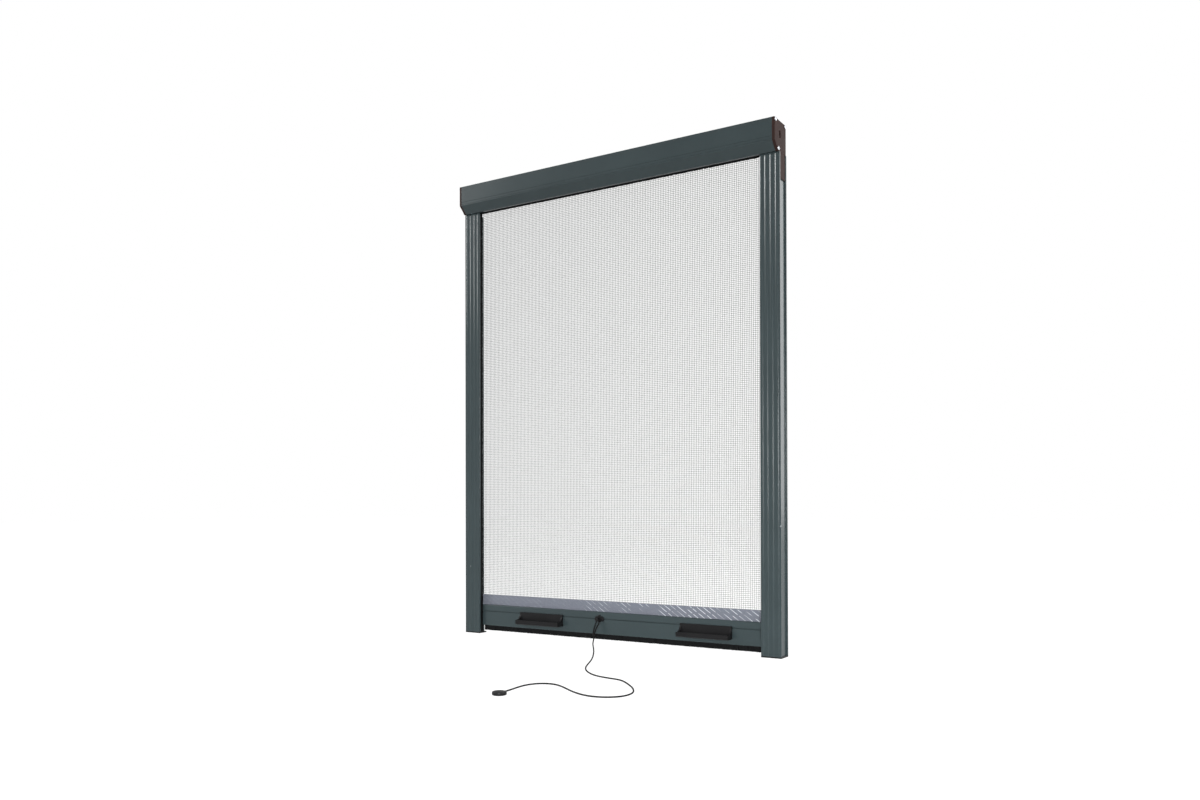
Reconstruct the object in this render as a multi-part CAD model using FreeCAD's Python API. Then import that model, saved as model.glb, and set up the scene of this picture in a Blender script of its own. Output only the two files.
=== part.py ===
"""Vertical roller insect screen for a window.

A head cassette holds a sprung roller. The net runs down from it between two
guide channels lined with brushes, and ends in a bottom bar with two finger
grips, a clip and a pull cord. Millimetres, +Z up, front towards -Y. The origin
is under the middle of the frame, at the level of its feet.
"""
import FreeCAD, Part
import math
import os

from FreeCAD import Vector

os.makedirs("parts", exist_ok=True)

# Overall sizes
OVERALL_WIDTH = 600.0
OVERALL_HEIGHT = 800.0

# Head cassette, an extruded box with a sloping lower front
CASSETTE_DEPTH = 45.0
CASSETTE_HEIGHT = 46.5
CASSETTE_SLOPE_HEIGHT = 12.7
CASSETTE_SLOPE_DEPTH = 13.35
CASSETTE_WALL = 1.3
CASSETTE_LIP = 4.3
CASSETTE_REAR_LEG = 5.0
CASSETTE_REAR_RISE = 12.5
CASSETTE_GROOVE_RISES = (5.8, 1.6)
CASSETTE_GROOVE_WIDTH = 0.7
CASSETTE_GROOVE_DEPTH = 0.4
SCREW_PORT_WALL = 1.6
SCREW_PORT_BORE = 1.25
SCREW_PORT_INSET = 3.2
LOWER_PORT_SETBACK = 0.85
LOWER_PORT_RISE = 3.6

# Moulded end caps
CAP_THICKNESS = 4.4
CAP_EDGE_BEVEL = 0.6
CAP_TAB_LENGTH = 8.0
CAP_TAB_THICKNESS = 1.8
CAP_BOSS_RADIUS = 7.0
CAP_BOSS_LENGTH = 3.0
CAP_TONGUE_LENGTH = 39.0
CAP_TONGUE_REAR_GAP = 2.6
CAP_TENON_LENGTH = 30.0
CAP_TENON_ROOT = 8.0
AXLE_SLOT_WIDTH = 6.0
AXLE_SLOT_RISE = 5.0
AXLE_RECESS = 2.0

# Cap screws
SCREW_HEAD_RADIUS = 2.8
SCREW_HEAD_HEIGHT = 1.6
SCREW_HEAD_TOP_RADIUS = 1.9
SCREW_SHANK_RADIUS = 1.2
SCREW_HOLE_RADIUS = 1.35
SCREW_LENGTH = 13.0
SCREW_FLATS = 16

# Guide channels
GUIDE_WIDTH = 32.0
GUIDE_REAR_WIDTH = 20.7
GUIDE_DEPTH = 27.8
GUIDE_WALL = 1.3
GUIDE_SETBACK = 0.8
GUIDE_OUTER_CHANNEL = 2.2
GUIDE_OUTER_LIP = 2.5
GUIDE_CHAMBER = 7.2
GUIDE_RIB_SHARES = (0.16, 0.42, 0.68, 0.92)
GUIDE_RIB_HEIGHT = 0.45
GUIDE_RIB_WIDTH = 5.0
GUIDE_RIB_TOP = 2.0
HOOK_REACH = 0.9
HOOK_THICKNESS = 0.9

# Brush strips
GUIDE_BRUSH_BASE = 6.7
REAR_BRUSH_BASE = 4.8
HEAD_BRUSH_BASE = 4.8
BAR_BRUSH_BASE = 6.7
BRUSH_BACKING = 0.8
BRUSH_SLACK = 0.1
PILE_THICKNESS = 3.4
PILE_GAP = 3.6
HEAD_BRUSH_RISE = 5.2
HEAD_BRUSH_SETBACK = 18.2
BAR_PILE_HEIGHT = 9.3

# Feet
FOOT_PLATE = 2.0
FOOT_PLUG = 14.0
FOOT_FINGER_HEIGHT = 16.5
FOOT_FINGER = 2.5

# Roller
ROLLER_FROM_FRONT = 20.5
ROLLER_DROP = 22.5
TUBE_RADIUS = 10.0
TUBE_WALL = 1.0
TUBE_END_GAP = 6.0
TUBE_KEDER_DEPTH = 1.8
TUBE_KEDER_BORE = 1.3
TUBE_KEDER_WALL = 0.9
TUBE_KEDER_MOUTH = 0.8
TOP_KEDER_RADIUS = 1.0
PLUG_LENGTH = 20.0
PLUG_FLANGE = 1.5
PLUG_NOSE = 10.0
PLUG_NOSE_RADIUS = 4.0
PLUG_RIBS = 6
PLUG_RIB_SHARE = 0.45
PLUG_RIB_HEIGHT = 2.0
SHAFT_RADIUS = 2.5
SHAFT_SQUARE = 5.8
PIN_RADIUS = 2.9
SPRING_LENGTH = 220.0
SPRING_INNER_RADIUS = 4.3
SPRING_WIRE = 1.1
ANCHOR_FLANGE = 4.0
ANCHOR_FLATS = 6
SHAFT_PAST_ANCHOR = 2.0

# Net
NET_IN_GUIDE = 16.8
NET_THICKNESS = 0.3
NET_FROM_FRONT = 32.0
NET_THREADS_SHOWN = 90
NET_THREAD = 1.2
NET_EDGE = 4.0
NET_TOP_EDGE = 12.0
HEM_THICKNESS = 0.8
HEM_ABOVE_BAR = 17.5

# Bottom bar
BAR_BOTTOM = 14.0
BAR_HEIGHT = 37.0
BAR_DEPTH = 13.0
BAR_WALL = 1.2
BAR_EDGE_ROUND = 1.4
BAR_SLOT_DROP = 11.4
BAR_SLOT_MOUTH = 1.8
BAR_SLOT_HEIGHT = 5.4
BAR_SLOT_DEPTH = 1.6
BAR_KEDER_BORE = 1.9
BAR_KEDER_DROP = 3.7
BAR_KEDER_MOUTH = 1.1
BOTTOM_KEDER_RADIUS = 1.6
BAR_END_GAP = 0.6

# End sliders of the bar
SLIDER_TONGUE = 3.0
SLIDER_TONGUE_TOP = 38.6
SLIDER_PLUG = 14.0
SLIDER_HEAD_BOTTOM = 20.0
SLIDER_HEAD_TOP = 46.0
SLIDER_LEG = 2.3
SLIDER_KEEL = 3.0
SLIDER_KEEL_BOTTOM = 5.0

# Finger grips
GRIP_LENGTH = 88.0
GRIP_INSET_LEFT = 128.6
GRIP_INSET_RIGHT = 93.6
GRIP_BOTTOM = 22.3
GRIP_TOP = 42.0
GRIP_REACH = 17.0
GRIP_PLATE = 3.0
GRIP_CHEEK = 2.6
GRIP_LIP_TOP = 29.7
GRIP_LIP = 2.2
GRIP_FLOOR = 2.4
GRIP_FOOT_LENGTH = 60.0
GRIP_ROUND = 1.6
GRIP_SWEEP = 0.22

# Cord clip, cord and pull
CLIP_X = -21.0
CLIP_WIDTH = 13.0
CLIP_HEIGHT = 9.0
CLIP_PLATE = 2.2
CLIP_NOSE_WIDTH = 3.0
CLIP_NOSE_REACH = 6.6
CLIP_EYE_RADIUS = 1.35
CLIP_EYE_DROP = 1.0
CORD_RADIUS = 1.0
KNOT_RADIUS = 2.5
KNOT_HEIGHT = 4.4
KNOT_END_RADIUS = 1.6
LOOP_SLACK = 0.6
PULL_RADIUS = 9.0
PULL_THICKNESS = 4.5
PULL_PLACE = (115.0, -450.5)
CORD_LIFT = 0.02
ARC_SHARE = 0.45
CORD_FLATS = 6

RUNNING_CLEARANCE = 0.3
FIT_CLEARANCE = 0.2
BEARING_CLEARANCE = 0.05

# How far a cut runs past the face that it opens, and a foot into the plate that carries it
OVERSHOOT = 1.0
# Slack when edges are picked by their place or length
TOLERANCE = 0.01

# Places that several pieces share
CAP_FACE_X = OVERALL_WIDTH / 2 - SCREW_HEAD_HEIGHT
CASSETTE_END_X = CAP_FACE_X - CAP_THICKNESS
FRONT_Y = -CASSETTE_DEPTH / 2
BACK_Y = CASSETTE_DEPTH / 2
CASSETTE_BOTTOM = OVERALL_HEIGHT - CASSETTE_HEIGHT
CASSETTE_FRONT_HEIGHT = CASSETTE_HEIGHT - CASSETTE_SLOPE_HEIGHT
HEAD_BRUSH_DROP = CASSETTE_HEIGHT - HEAD_BRUSH_RISE
GUIDE_FACE_X = OVERALL_WIDTH / 2 - GUIDE_SETBACK
GUIDE_INNER_X = GUIDE_FACE_X - GUIDE_WIDTH
GUIDE_FRONT_Y = BACK_Y - GUIDE_DEPTH
CHAMBER_START = GUIDE_OUTER_CHANNEL + GUIDE_WALL
CHAMBER_END = CHAMBER_START + GUIDE_CHAMBER
RUNWAY_START = CHAMBER_END + GUIDE_WALL
RUNWAY_END = GUIDE_WIDTH - GUIDE_WALL - GUIDE_BRUSH_BASE - 4 * BRUSH_SLACK - HOOK_THICKNESS
POCKET_DEPTH = BRUSH_BACKING + 2 * BRUSH_SLACK
ROLLER_Y = FRONT_Y + ROLLER_FROM_FRONT
ROLLER_Z = OVERALL_HEIGHT - ROLLER_DROP
NET_Y = FRONT_Y + NET_FROM_FRONT
NET_BACK = NET_Y - GUIDE_FRONT_Y
NET_WIDTH = 2 * (GUIDE_INNER_X + NET_IN_GUIDE)
NET_ROLL_RADIUS = NET_FROM_FRONT - ROLLER_FROM_FRONT - NET_THICKNESS / 2 - RUNNING_CLEARANCE
TUBE_END_X = CASSETTE_END_X - TUBE_END_GAP
TUBE_BORE = TUBE_RADIUS - TUBE_WALL
BAR_TOP = BAR_BOTTOM + BAR_HEIGHT
BAR_FRONT_Y = NET_Y - BAR_DEPTH / 2
BAR_END_X = GUIDE_INNER_X - BAR_END_GAP
GRIP_PLACES = {"left": GRIP_INSET_LEFT - BAR_END_X, "right": BAR_END_X - GRIP_INSET_RIGHT}
BAR_SLOT_Z = BAR_TOP - BAR_SLOT_DROP
BAR_KEDER_Z = BAR_TOP - BAR_KEDER_DROP
HEM_TOP = BAR_TOP + HEM_ABOVE_BAR
CORD_FLOOR = CORD_RADIUS + CORD_LIFT

# Corners of the cassette where a screw enters: distance from the front, drop from the top
SCREW_PORTS = (
    (SCREW_PORT_INSET, SCREW_PORT_INSET),
    (CASSETTE_DEPTH - SCREW_PORT_INSET, SCREW_PORT_INSET),
    (CASSETTE_SLOPE_DEPTH + LOWER_PORT_SETBACK, CASSETTE_HEIGHT - LOWER_PORT_RISE),
)

# Route of the pull cord, from the knot to the rim of the pull, chosen by hand
CORD_ROUTE = [
    (-21.0, -15.5, 13.2),
    (-21.0, -15.5, 8.0),
    (-18.4, -22.5, 2.8),
    (-10.0, -36.0, CORD_FLOOR),
    (6.0, -60.0, CORD_FLOOR),
    (28.0, -94.5, CORD_FLOOR),
    (50.0, -132.0, CORD_FLOOR),
    (69.5, -168.0, CORD_FLOOR),
    (85.0, -203.0, CORD_FLOOR),
    (100.0, -234.0, CORD_FLOOR),
    (119.0, -259.0, CORD_FLOOR),
    (144.0, -279.0, CORD_FLOOR),
    (168.0, -285.5, CORD_FLOOR),
    (190.0, -288.5, CORD_FLOOR),
    (213.0, -310.0, CORD_FLOOR),
    (235.0, -335.0, CORD_FLOOR),
    (249.0, -361.0, CORD_FLOOR),
    (248.0, -386.0, CORD_FLOOR),
    (231.0, -402.0, CORD_FLOOR),
    (208.0, -404.0, CORD_FLOOR),
    (181.0, -391.0, CORD_FLOOR),
    (155.0, -371.0, CORD_FLOOR),
    (134.0, -359.0, CORD_FLOOR),
    (115.0, -364.0, CORD_FLOOR),
    (106.0, -382.0, CORD_FLOOR),
    (107.0, -404.0, CORD_FLOOR),
    (111.5, -425.0, 1.5),
    (114.0, PULL_PLACE[1] + PULL_RADIUS, PULL_THICKNESS / 2),
]

# One side of the cord's loop, from the knot up to the clip's eye, as distances to the side
# of the clip's middle, then y and z, chosen by hand
LOOP_SIDE = [
    (1.1, -15.5, 17.15),
    (3.1, -12.3, 24.4),
    (3.4, -3.1, 33.6),
]


def box(x0, x1, y0, y1, z0, z1):
    """Solid between two corners."""
    return Part.makeBox(x1 - x0, y1 - y0, z1 - z0, Vector(x0, y0, z0))


def along_x(outline, x0, x1):
    """Solid of a (y, z) outline from x0 to x1."""
    corners = [Vector(x0, y, z) for y, z in outline]
    return Part.Face(Part.makePolygon(corners + corners[:1])).extrude(Vector(x1 - x0, 0, 0))


def along_z(outline, z0, z1):
    """Solid of an (x, y) outline from z0 to z1."""
    corners = [Vector(x, y, z0) for x, y in outline]
    return Part.Face(Part.makePolygon(corners + corners[:1])).extrude(Vector(0, 0, z1 - z0))


def rod_x(radius, x0, x1, y, z):
    """Round rod along X."""
    return Part.makeCylinder(radius, x1 - x0, Vector(x0, y, z), Vector(1, 0, 0))


def ring_x(outer, inner, x0, x1, y, z):
    """Round tube along X."""
    return rod_x(outer, x0, x1, y, z).cut(rod_x(inner, x0, x1, y, z))


def flat_sided(radius, centre, axis, flats):
    """Regular polygon across an axis, which stands for a circle."""
    circle = Part.Circle(centre, axis, radius)
    return Part.makePolygon([circle.value(2 * math.pi * index / flats) for index in range(flats + 1)])


def mirrored(shape):
    """The same piece on the other side of the window."""
    return shape.mirror(Vector(0, 0, 0), Vector(1, 0, 0))


def save(name, shape):
    """Write one piece and print its size."""
    solid = shape.removeSplitter()
    solid.exportStep(f"parts/{name}.step")
    print(f"{name:28s} solids {len(solid.Solids):3d}  volume {solid.Volume:10.1f}  valid {solid.isValid()}")


def wall_outline(chain, wall):
    """Closed outline of a bent wall: a chain of points, and its copy set off to the right."""
    normals = []
    for (a0, b0), (a1, b1) in zip(chain, chain[1:]):
        length = math.hypot(a1 - a0, b1 - b0)
        normals.append(((b1 - b0) / length, (a0 - a1) / length))
    copy = []
    for (a, b), (na, nb), (ma, mb) in zip(chain, normals[:1] + normals, normals + normals[-1:]):
        share = wall / (1 + na * ma + nb * mb)
        copy.append((a + share * (na + ma), b + share * (nb + mb)))
    return chain + copy[::-1]


def in_head(back, drop):
    """Place in the head: distance back from its front, drop from its top."""
    return FRONT_Y + back, OVERALL_HEIGHT - drop


def head_outline(rows):
    """An outline given as distances back from the front and drops from the top."""
    return [in_head(back, drop) for back, drop in rows]


def cassette_box():
    """Extruded head: bent wall open at the bottom, three screw ports and a brush channel."""
    chain = head_outline([
        (CASSETTE_SLOPE_DEPTH + CASSETTE_LIP, CASSETTE_HEIGHT),
        (CASSETTE_SLOPE_DEPTH, CASSETTE_HEIGHT),
        (0, CASSETTE_FRONT_HEIGHT),
        (0, 0),
        (CASSETTE_DEPTH, 0),
        (CASSETTE_DEPTH, CASSETTE_HEIGHT - CASSETTE_REAR_RISE),
        (CASSETTE_DEPTH - CASSETTE_REAR_LEG, CASSETTE_HEIGHT - CASSETTE_REAR_RISE),
    ])
    ends = (-CASSETTE_END_X, CASSETTE_END_X)
    shell = along_x(wall_outline(chain, CASSETTE_WALL), *ends)
    limit = along_x(closed_head_outline(), *ends)
    for back, drop in SCREW_PORTS:
        port = rod_x(SCREW_PORT_BORE + SCREW_PORT_WALL, *ends, *in_head(back, drop))
        shell = shell.fuse(port.common(limit))
    shell = shell.fuse(along_x(head_brush_channel(), *ends))
    for back, drop in SCREW_PORTS:
        shell = shell.cut(rod_x(SCREW_PORT_BORE, *ends, *in_head(back, drop)))
    for rise in CASSETTE_GROOVE_RISES:
        drop = CASSETTE_FRONT_HEIGHT - rise
        low, high = drop + CASSETTE_GROOVE_WIDTH / 2, drop - CASSETTE_GROOVE_WIDTH / 2
        floor = CASSETTE_GROOVE_DEPTH
        groove = head_outline([(-OVERSHOOT, low), (floor, low), (floor, high), (-OVERSHOOT, high)])
        shell = shell.cut(along_x(groove, *ends))
    return shell


def closed_head_outline():
    """Outer shape of the head, with its bottom closed."""
    return head_outline([
        (CASSETTE_SLOPE_DEPTH, CASSETTE_HEIGHT),
        (0, CASSETTE_FRONT_HEIGHT),
        (0, 0),
        (CASSETTE_DEPTH, 0),
        (CASSETTE_DEPTH, CASSETTE_HEIGHT),
    ])


def head_brush_channel():
    """C channel behind the front lip, open to the rear, on a foot that stands on the lip."""
    half = HEAD_BRUSH_BASE / 2 + BRUSH_SLACK
    floor = HEAD_BRUSH_SETBACK - BRUSH_SLACK
    roof = floor + POCKET_DEPTH
    back = floor - CASSETTE_WALL
    top, bottom = HEAD_BRUSH_DROP - half, HEAD_BRUSH_DROP + half
    return head_outline([
        (back, CASSETTE_HEIGHT - CASSETTE_WALL / 2),
        (back, top - HOOK_THICKNESS),
        (roof + HOOK_THICKNESS, top - HOOK_THICKNESS),
        (roof + HOOK_THICKNESS, top + HOOK_REACH),
        (roof, top + HOOK_REACH),
        (roof, top),
        (floor, top),
        (floor, bottom),
        (roof, bottom),
        (roof, bottom - HOOK_REACH),
        (roof + HOOK_THICKNESS, bottom - HOOK_REACH),
        (roof + HOOK_THICKNESS, bottom + HOOK_THICKNESS),
        (back + CASSETTE_WALL, bottom + HOOK_THICKNESS),
        (back + CASSETTE_WALL, CASSETTE_HEIGHT - CASSETTE_WALL / 2),
    ])


def brush_section(base, pile, height):
    """Section of a strip brush: distances across and up from the middle of its backing strip."""
    return [
        (-base / 2, 0),
        (base / 2, 0),
        (base / 2, BRUSH_BACKING),
        (pile / 2, BRUSH_BACKING),
        (pile / 2, height),
        (-pile / 2, height),
        (-pile / 2, BRUSH_BACKING),
        (-base / 2, BRUSH_BACKING),
    ]


def cassette_brush():
    """Strip brush whose pile reaches the net."""
    tip = NET_FROM_FRONT - HEM_THICKNESS / 2 - RUNNING_CLEARANCE
    section = brush_section(HEAD_BRUSH_BASE, PILE_THICKNESS - 2 * FIT_CLEARANCE, tip - HEAD_BRUSH_SETBACK)
    outline = head_outline([(HEAD_BRUSH_SETBACK + up, HEAD_BRUSH_DROP + across) for across, up in section])
    end = CASSETTE_END_X - CAP_TAB_LENGTH
    return along_x(outline, -end, end)


def axle_slot(x0, x1):
    """Slot with a flat bottom and a round top, which the roller's axle drops into."""
    half = AXLE_SLOT_WIDTH / 2
    straight = box(x0, x1, ROLLER_Y - half, ROLLER_Y + half, ROLLER_Z - half, ROLLER_Z + AXLE_SLOT_RISE)
    return straight.fuse(rod_x(half, x0, x1, ROLLER_Y, ROLLER_Z + AXLE_SLOT_RISE))


def end_cap_right():
    """Moulded cap: flange with screw holes, tabs in the cassette, tongue and tenon in the guide."""
    flange = along_x(closed_head_outline(), CASSETTE_END_X, CAP_FACE_X)
    rim = [edge for edge in flange.Edges if all(abs(v.X - CAP_FACE_X) < TOLERANCE for v in edge.Vertexes)]
    cap = flange.makeChamfer(CAP_EDGE_BEVEL, rim)
    for back, drop in SCREW_PORTS:
        cap = cap.cut(rod_x(SCREW_HOLE_RADIUS, CASSETTE_END_X, CAP_FACE_X, *in_head(back, drop)))
    inside = CASSETTE_WALL + FIT_CLEARANCE
    port = SCREW_PORT_INSET + SCREW_PORT_BORE + SCREW_PORT_WALL
    for start in (inside, CASSETTE_DEPTH - inside - CAP_TAB_THICKNESS):
        y0, z1 = in_head(start, port + FIT_CLEARANCE)
        y1, z0 = in_head(start + CAP_TAB_THICKNESS, CASSETTE_FRONT_HEIGHT - inside)
        cap = cap.fuse(box(CASSETTE_END_X - CAP_TAB_LENGTH, CASSETTE_END_X, y0, y1, z0, z1))
    boss_end = CASSETTE_END_X - CAP_BOSS_LENGTH
    cap = cap.fuse(rod_x(CAP_BOSS_RADIUS, boss_end, CASSETTE_END_X, ROLLER_Y, ROLLER_Z + AXLE_SLOT_RISE / 2))
    cap = cap.cut(axle_slot(boss_end, CAP_FACE_X))
    tongue_x = GUIDE_FACE_X - GUIDE_OUTER_CHANNEL + RUNNING_CLEARANCE / 2
    front = GUIDE_FRONT_Y + GUIDE_OUTER_LIP + FIT_CLEARANCE
    rear = BACK_Y - GUIDE_OUTER_LIP - CAP_TONGUE_REAR_GAP
    low = CASSETTE_BOTTOM - CAP_TONGUE_LENGTH
    cap = cap.fuse(box(tongue_x, CAP_FACE_X, front, rear, low, CASSETTE_BOTTOM))
    tenon_x0 = GUIDE_FACE_X - CHAMBER_END + FIT_CLEARANCE
    tenon_x1 = GUIDE_FACE_X - CHAMBER_START - FIT_CLEARANCE
    front = GUIDE_FRONT_Y + GUIDE_WALL + FIT_CLEARANCE
    rear = BACK_Y - GUIDE_WALL - FIT_CLEARANCE
    low = CASSETTE_BOTTOM - CAP_TENON_LENGTH
    cap = cap.fuse(box(tenon_x0, tenon_x1, front, rear, low, CASSETTE_BOTTOM))
    root_front = FRONT_Y + HEAD_BRUSH_SETBACK + POCKET_DEPTH + 2 * HOOK_THICKNESS
    root_rear = BACK_Y - SCREW_PORT_INSET - SCREW_PORT_BORE - SCREW_PORT_WALL - FIT_CLEARANCE
    top = CASSETTE_BOTTOM + CAP_TENON_ROOT
    return cap.fuse(box(tenon_x0, CASSETTE_END_X, root_front, root_rear, CASSETTE_BOTTOM, top))


def cap_screws():
    """Six pan-head screws through the corners of the caps into the screw ports."""
    outward = Vector(1, 0, 0)
    tip, seat = Vector(CAP_FACE_X - SCREW_LENGTH, 0, 0), Vector(CAP_FACE_X, 0, 0)
    top = seat + outward * SCREW_HEAD_HEIGHT
    shank = Part.Face(flat_sided(SCREW_SHANK_RADIUS, tip, outward, SCREW_FLATS))
    rim = flat_sided(SCREW_HEAD_RADIUS, seat, outward, SCREW_FLATS)
    crown = flat_sided(SCREW_HEAD_TOP_RADIUS, top, outward, SCREW_FLATS)
    screw = Part.makeLoft([rim, crown], True, True).fuse(shank.extrude(seat - tip))
    screws = []
    for back, drop in SCREW_PORTS:
        y, z = in_head(back, drop)
        placed = screw.translated(Vector(0, y, z))
        screws += [placed, mirrored(placed)]
    return Part.makeCompound(screws)


def pocket_sides(width, base):
    """Where the pocket of a brush with that base lies in a flange of that width."""
    end = width - GUIDE_WALL
    return end - base - 4 * BRUSH_SLACK, end


def guide_half(ribs, width, base):
    """Half of the guide's section, as distances in from its outer side and back from its front."""
    hook = GUIDE_WALL + POCKET_DEPTH
    start, end = pocket_sides(width, base)
    outline = [
        (GUIDE_OUTER_CHANNEL, GUIDE_DEPTH / 2),
        (GUIDE_OUTER_CHANNEL, GUIDE_OUTER_LIP),
        (0, GUIDE_OUTER_LIP),
        (0, 0),
    ]
    for share in ribs:
        middle = share * GUIDE_WIDTH
        outline += [
            (middle - GUIDE_RIB_WIDTH / 2, 0),
            (middle - GUIDE_RIB_TOP / 2, -GUIDE_RIB_HEIGHT),
            (middle + GUIDE_RIB_TOP / 2, -GUIDE_RIB_HEIGHT),
            (middle + GUIDE_RIB_WIDTH / 2, 0),
        ]
    return outline + [
        (width, 0),
        (width, hook + HOOK_THICKNESS),
        (end - HOOK_REACH, hook + HOOK_THICKNESS),
        (end - HOOK_REACH, hook),
        (end, hook),
        (end, GUIDE_WALL),
        (start, GUIDE_WALL),
        (start, hook),
        (start + HOOK_REACH, hook),
        (start + HOOK_REACH, hook + HOOK_THICKNESS),
        (start - HOOK_THICKNESS, hook + HOOK_THICKNESS),
        (start - HOOK_THICKNESS, GUIDE_WALL),
        (RUNWAY_START, GUIDE_WALL),
        (RUNWAY_START, GUIDE_DEPTH / 2),
    ]


def on_guide(inward, back):
    """Place in the right guide's section."""
    return GUIDE_FACE_X - inward, GUIDE_FRONT_Y + back


def guide_right():
    """Extruded guide: outer channel, closed chamber, runway of the slider and two brush pockets."""
    front = guide_half(GUIDE_RIB_SHARES, GUIDE_WIDTH, GUIDE_BRUSH_BASE)
    rear = guide_half((), GUIDE_REAR_WIDTH, REAR_BRUSH_BASE)
    rear = [(inward, GUIDE_DEPTH - back) for inward, back in rear]
    section = front[1:-1] + rear[1:-1][::-1]
    guide = along_z([on_guide(*point) for point in section], FOOT_PLATE, CASSETTE_BOTTOM)
    x1, y0 = on_guide(CHAMBER_START, GUIDE_WALL)
    x0, y1 = on_guide(CHAMBER_END, GUIDE_DEPTH - GUIDE_WALL)
    return guide.cut(box(x0, x1, y0, y1, FOOT_PLATE, CASSETTE_BOTTOM))


def guide_brush_right(in_rear):
    """Strip brush in the front or the rear pocket: backing strip and pile towards the net."""
    width, base = (GUIDE_REAR_WIDTH, REAR_BRUSH_BASE) if in_rear else (GUIDE_WIDTH, GUIDE_BRUSH_BASE)
    middle = sum(pocket_sides(width, base)) / 2
    floor = GUIDE_WALL + BRUSH_SLACK
    to_net = GUIDE_DEPTH - NET_BACK if in_rear else NET_BACK
    outline = []
    for across, up in brush_section(base, PILE_THICKNESS, to_net - PILE_GAP / 2 - floor):
        back = floor + up
        outline.append(on_guide(middle + across, GUIDE_DEPTH - back if in_rear else back))
    return along_z(outline, FOOT_PLATE, CASSETTE_BOTTOM)


def foot_right():
    """Moulded foot: plate under the guide, plug in its chamber, two fingers that grip the slider."""
    near = SLIDER_KEEL / 2 + RUNNING_CLEARANCE
    x0, y0 = on_guide(GUIDE_WIDTH, 0)
    x1, y1 = on_guide(0, GUIDE_DEPTH)
    foot = box(x0, x1, y0, NET_Y + near + FOOT_FINGER, 0, FOOT_PLATE)
    foot = foot.fuse(box(on_guide(GUIDE_REAR_WIDTH, 0)[0], x1, y0, y1, 0, FOOT_PLATE))
    x1, y0 = on_guide(CHAMBER_START + FIT_CLEARANCE, GUIDE_WALL + FIT_CLEARANCE)
    x0, y1 = on_guide(CHAMBER_END - FIT_CLEARANCE, GUIDE_DEPTH - GUIDE_WALL - FIT_CLEARANCE)
    foot = foot.fuse(box(x0, x1, y0, y1, 0, FOOT_PLATE + FOOT_PLUG))
    x0 = on_guide(RUNWAY_END, 0)[0]
    x1 = on_guide(RUNWAY_START + FIT_CLEARANCE, 0)[0]
    top = FOOT_PLATE + FOOT_FINGER_HEIGHT
    foot = foot.fuse(box(x0, x1, NET_Y - near - FOOT_FINGER, NET_Y - near, 0, top))
    pile_end = sum(pocket_sides(GUIDE_REAR_WIDTH, REAR_BRUSH_BASE)) / 2 + PILE_THICKNESS / 2
    x1 = on_guide(pile_end + RUNNING_CLEARANCE, 0)[0]
    return foot.fuse(box(x0, x1, NET_Y + near, NET_Y + near + FOOT_FINGER, 0, top))


def keder_centre():
    """Centre of the groove in the roller tube that holds the net's keder."""
    return ROLLER_Y - (TUBE_RADIUS - TUBE_KEDER_DEPTH), ROLLER_Z


def roller_tube():
    """Extruded tube with a round keder groove that opens through its wall."""
    tube = rod_x(TUBE_RADIUS, -TUBE_END_X, TUBE_END_X, ROLLER_Y, ROLLER_Z)
    bore = rod_x(TUBE_BORE, -TUBE_END_X, TUBE_END_X, ROLLER_Y, ROLLER_Z)
    y, z = keder_centre()
    lobe = rod_x(TUBE_KEDER_BORE + TUBE_KEDER_WALL, -TUBE_END_X, TUBE_END_X, y, z)
    tube = tube.cut(bore.cut(lobe))
    tube = tube.cut(rod_x(TUBE_KEDER_BORE, -TUBE_END_X, TUBE_END_X, y, z))
    half = TUBE_KEDER_MOUTH / 2
    return tube.cut(box(-TUBE_END_X, TUBE_END_X, y - 2 * TUBE_KEDER_DEPTH, y, z - half, z + half))


def top_keder():
    """Round rod in the net's top edge, slid into the tube's groove."""
    return rod_x(TOP_KEDER_RADIUS, -NET_WIDTH / 2, NET_WIDTH / 2, *keder_centre())


def net_roll():
    """Turns of net that stay on the tube when the screen is down."""
    inner = TUBE_RADIUS + BEARING_CLEARANCE
    return ring_x(NET_ROLL_RADIUS, inner, -NET_WIDTH / 2, NET_WIDTH / 2, ROLLER_Y, ROLLER_Z)


def tube_plug(bore, nose):
    """End plug of the tube, made for the right end: flange, ribbed body, and a nose if asked."""
    start = TUBE_END_X - PLUG_LENGTH
    crest = TUBE_BORE - BEARING_CLEARANCE
    pitch = 2 * math.pi / PLUG_RIBS
    outline = []
    for index in range(PLUG_RIBS):
        for share, radius in (
            (0, crest), (PLUG_RIB_SHARE, crest),
            (PLUG_RIB_SHARE, crest - PLUG_RIB_HEIGHT), (1, crest - PLUG_RIB_HEIGHT),
        ):
            turn = pitch * (index + share)
            outline.append((ROLLER_Y + radius * math.cos(turn), ROLLER_Z + radius * math.sin(turn)))
    body = along_x(outline, start, TUBE_END_X)
    lobe = TUBE_KEDER_BORE + TUBE_KEDER_WALL + FIT_CLEARANCE
    body = body.cut(rod_x(lobe, start, TUBE_END_X, *keder_centre()))
    body = body.fuse(rod_x(TUBE_RADIUS, TUBE_END_X, TUBE_END_X + PLUG_FLANGE, ROLLER_Y, ROLLER_Z))
    if nose:
        body = body.fuse(rod_x(PLUG_NOSE_RADIUS, start - nose, start, ROLLER_Y, ROLLER_Z))
    return body.cut(rod_x(bore, start - nose, TUBE_END_X + PLUG_FLANGE, ROLLER_Y, ROLLER_Z))


def idle_pin():
    """Steel pin pressed in the right plug, which turns in the right cap's slot."""
    start = TUBE_END_X - PLUG_LENGTH
    return rod_x(PIN_RADIUS, start, CAP_FACE_X - AXLE_RECESS, ROLLER_Y, ROLLER_Z)


def spring_start_x():
    """Where the spring begins, at the inner end of the left plug."""
    return -TUBE_END_X + PLUG_LENGTH + RUNNING_CLEARANCE


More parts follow.
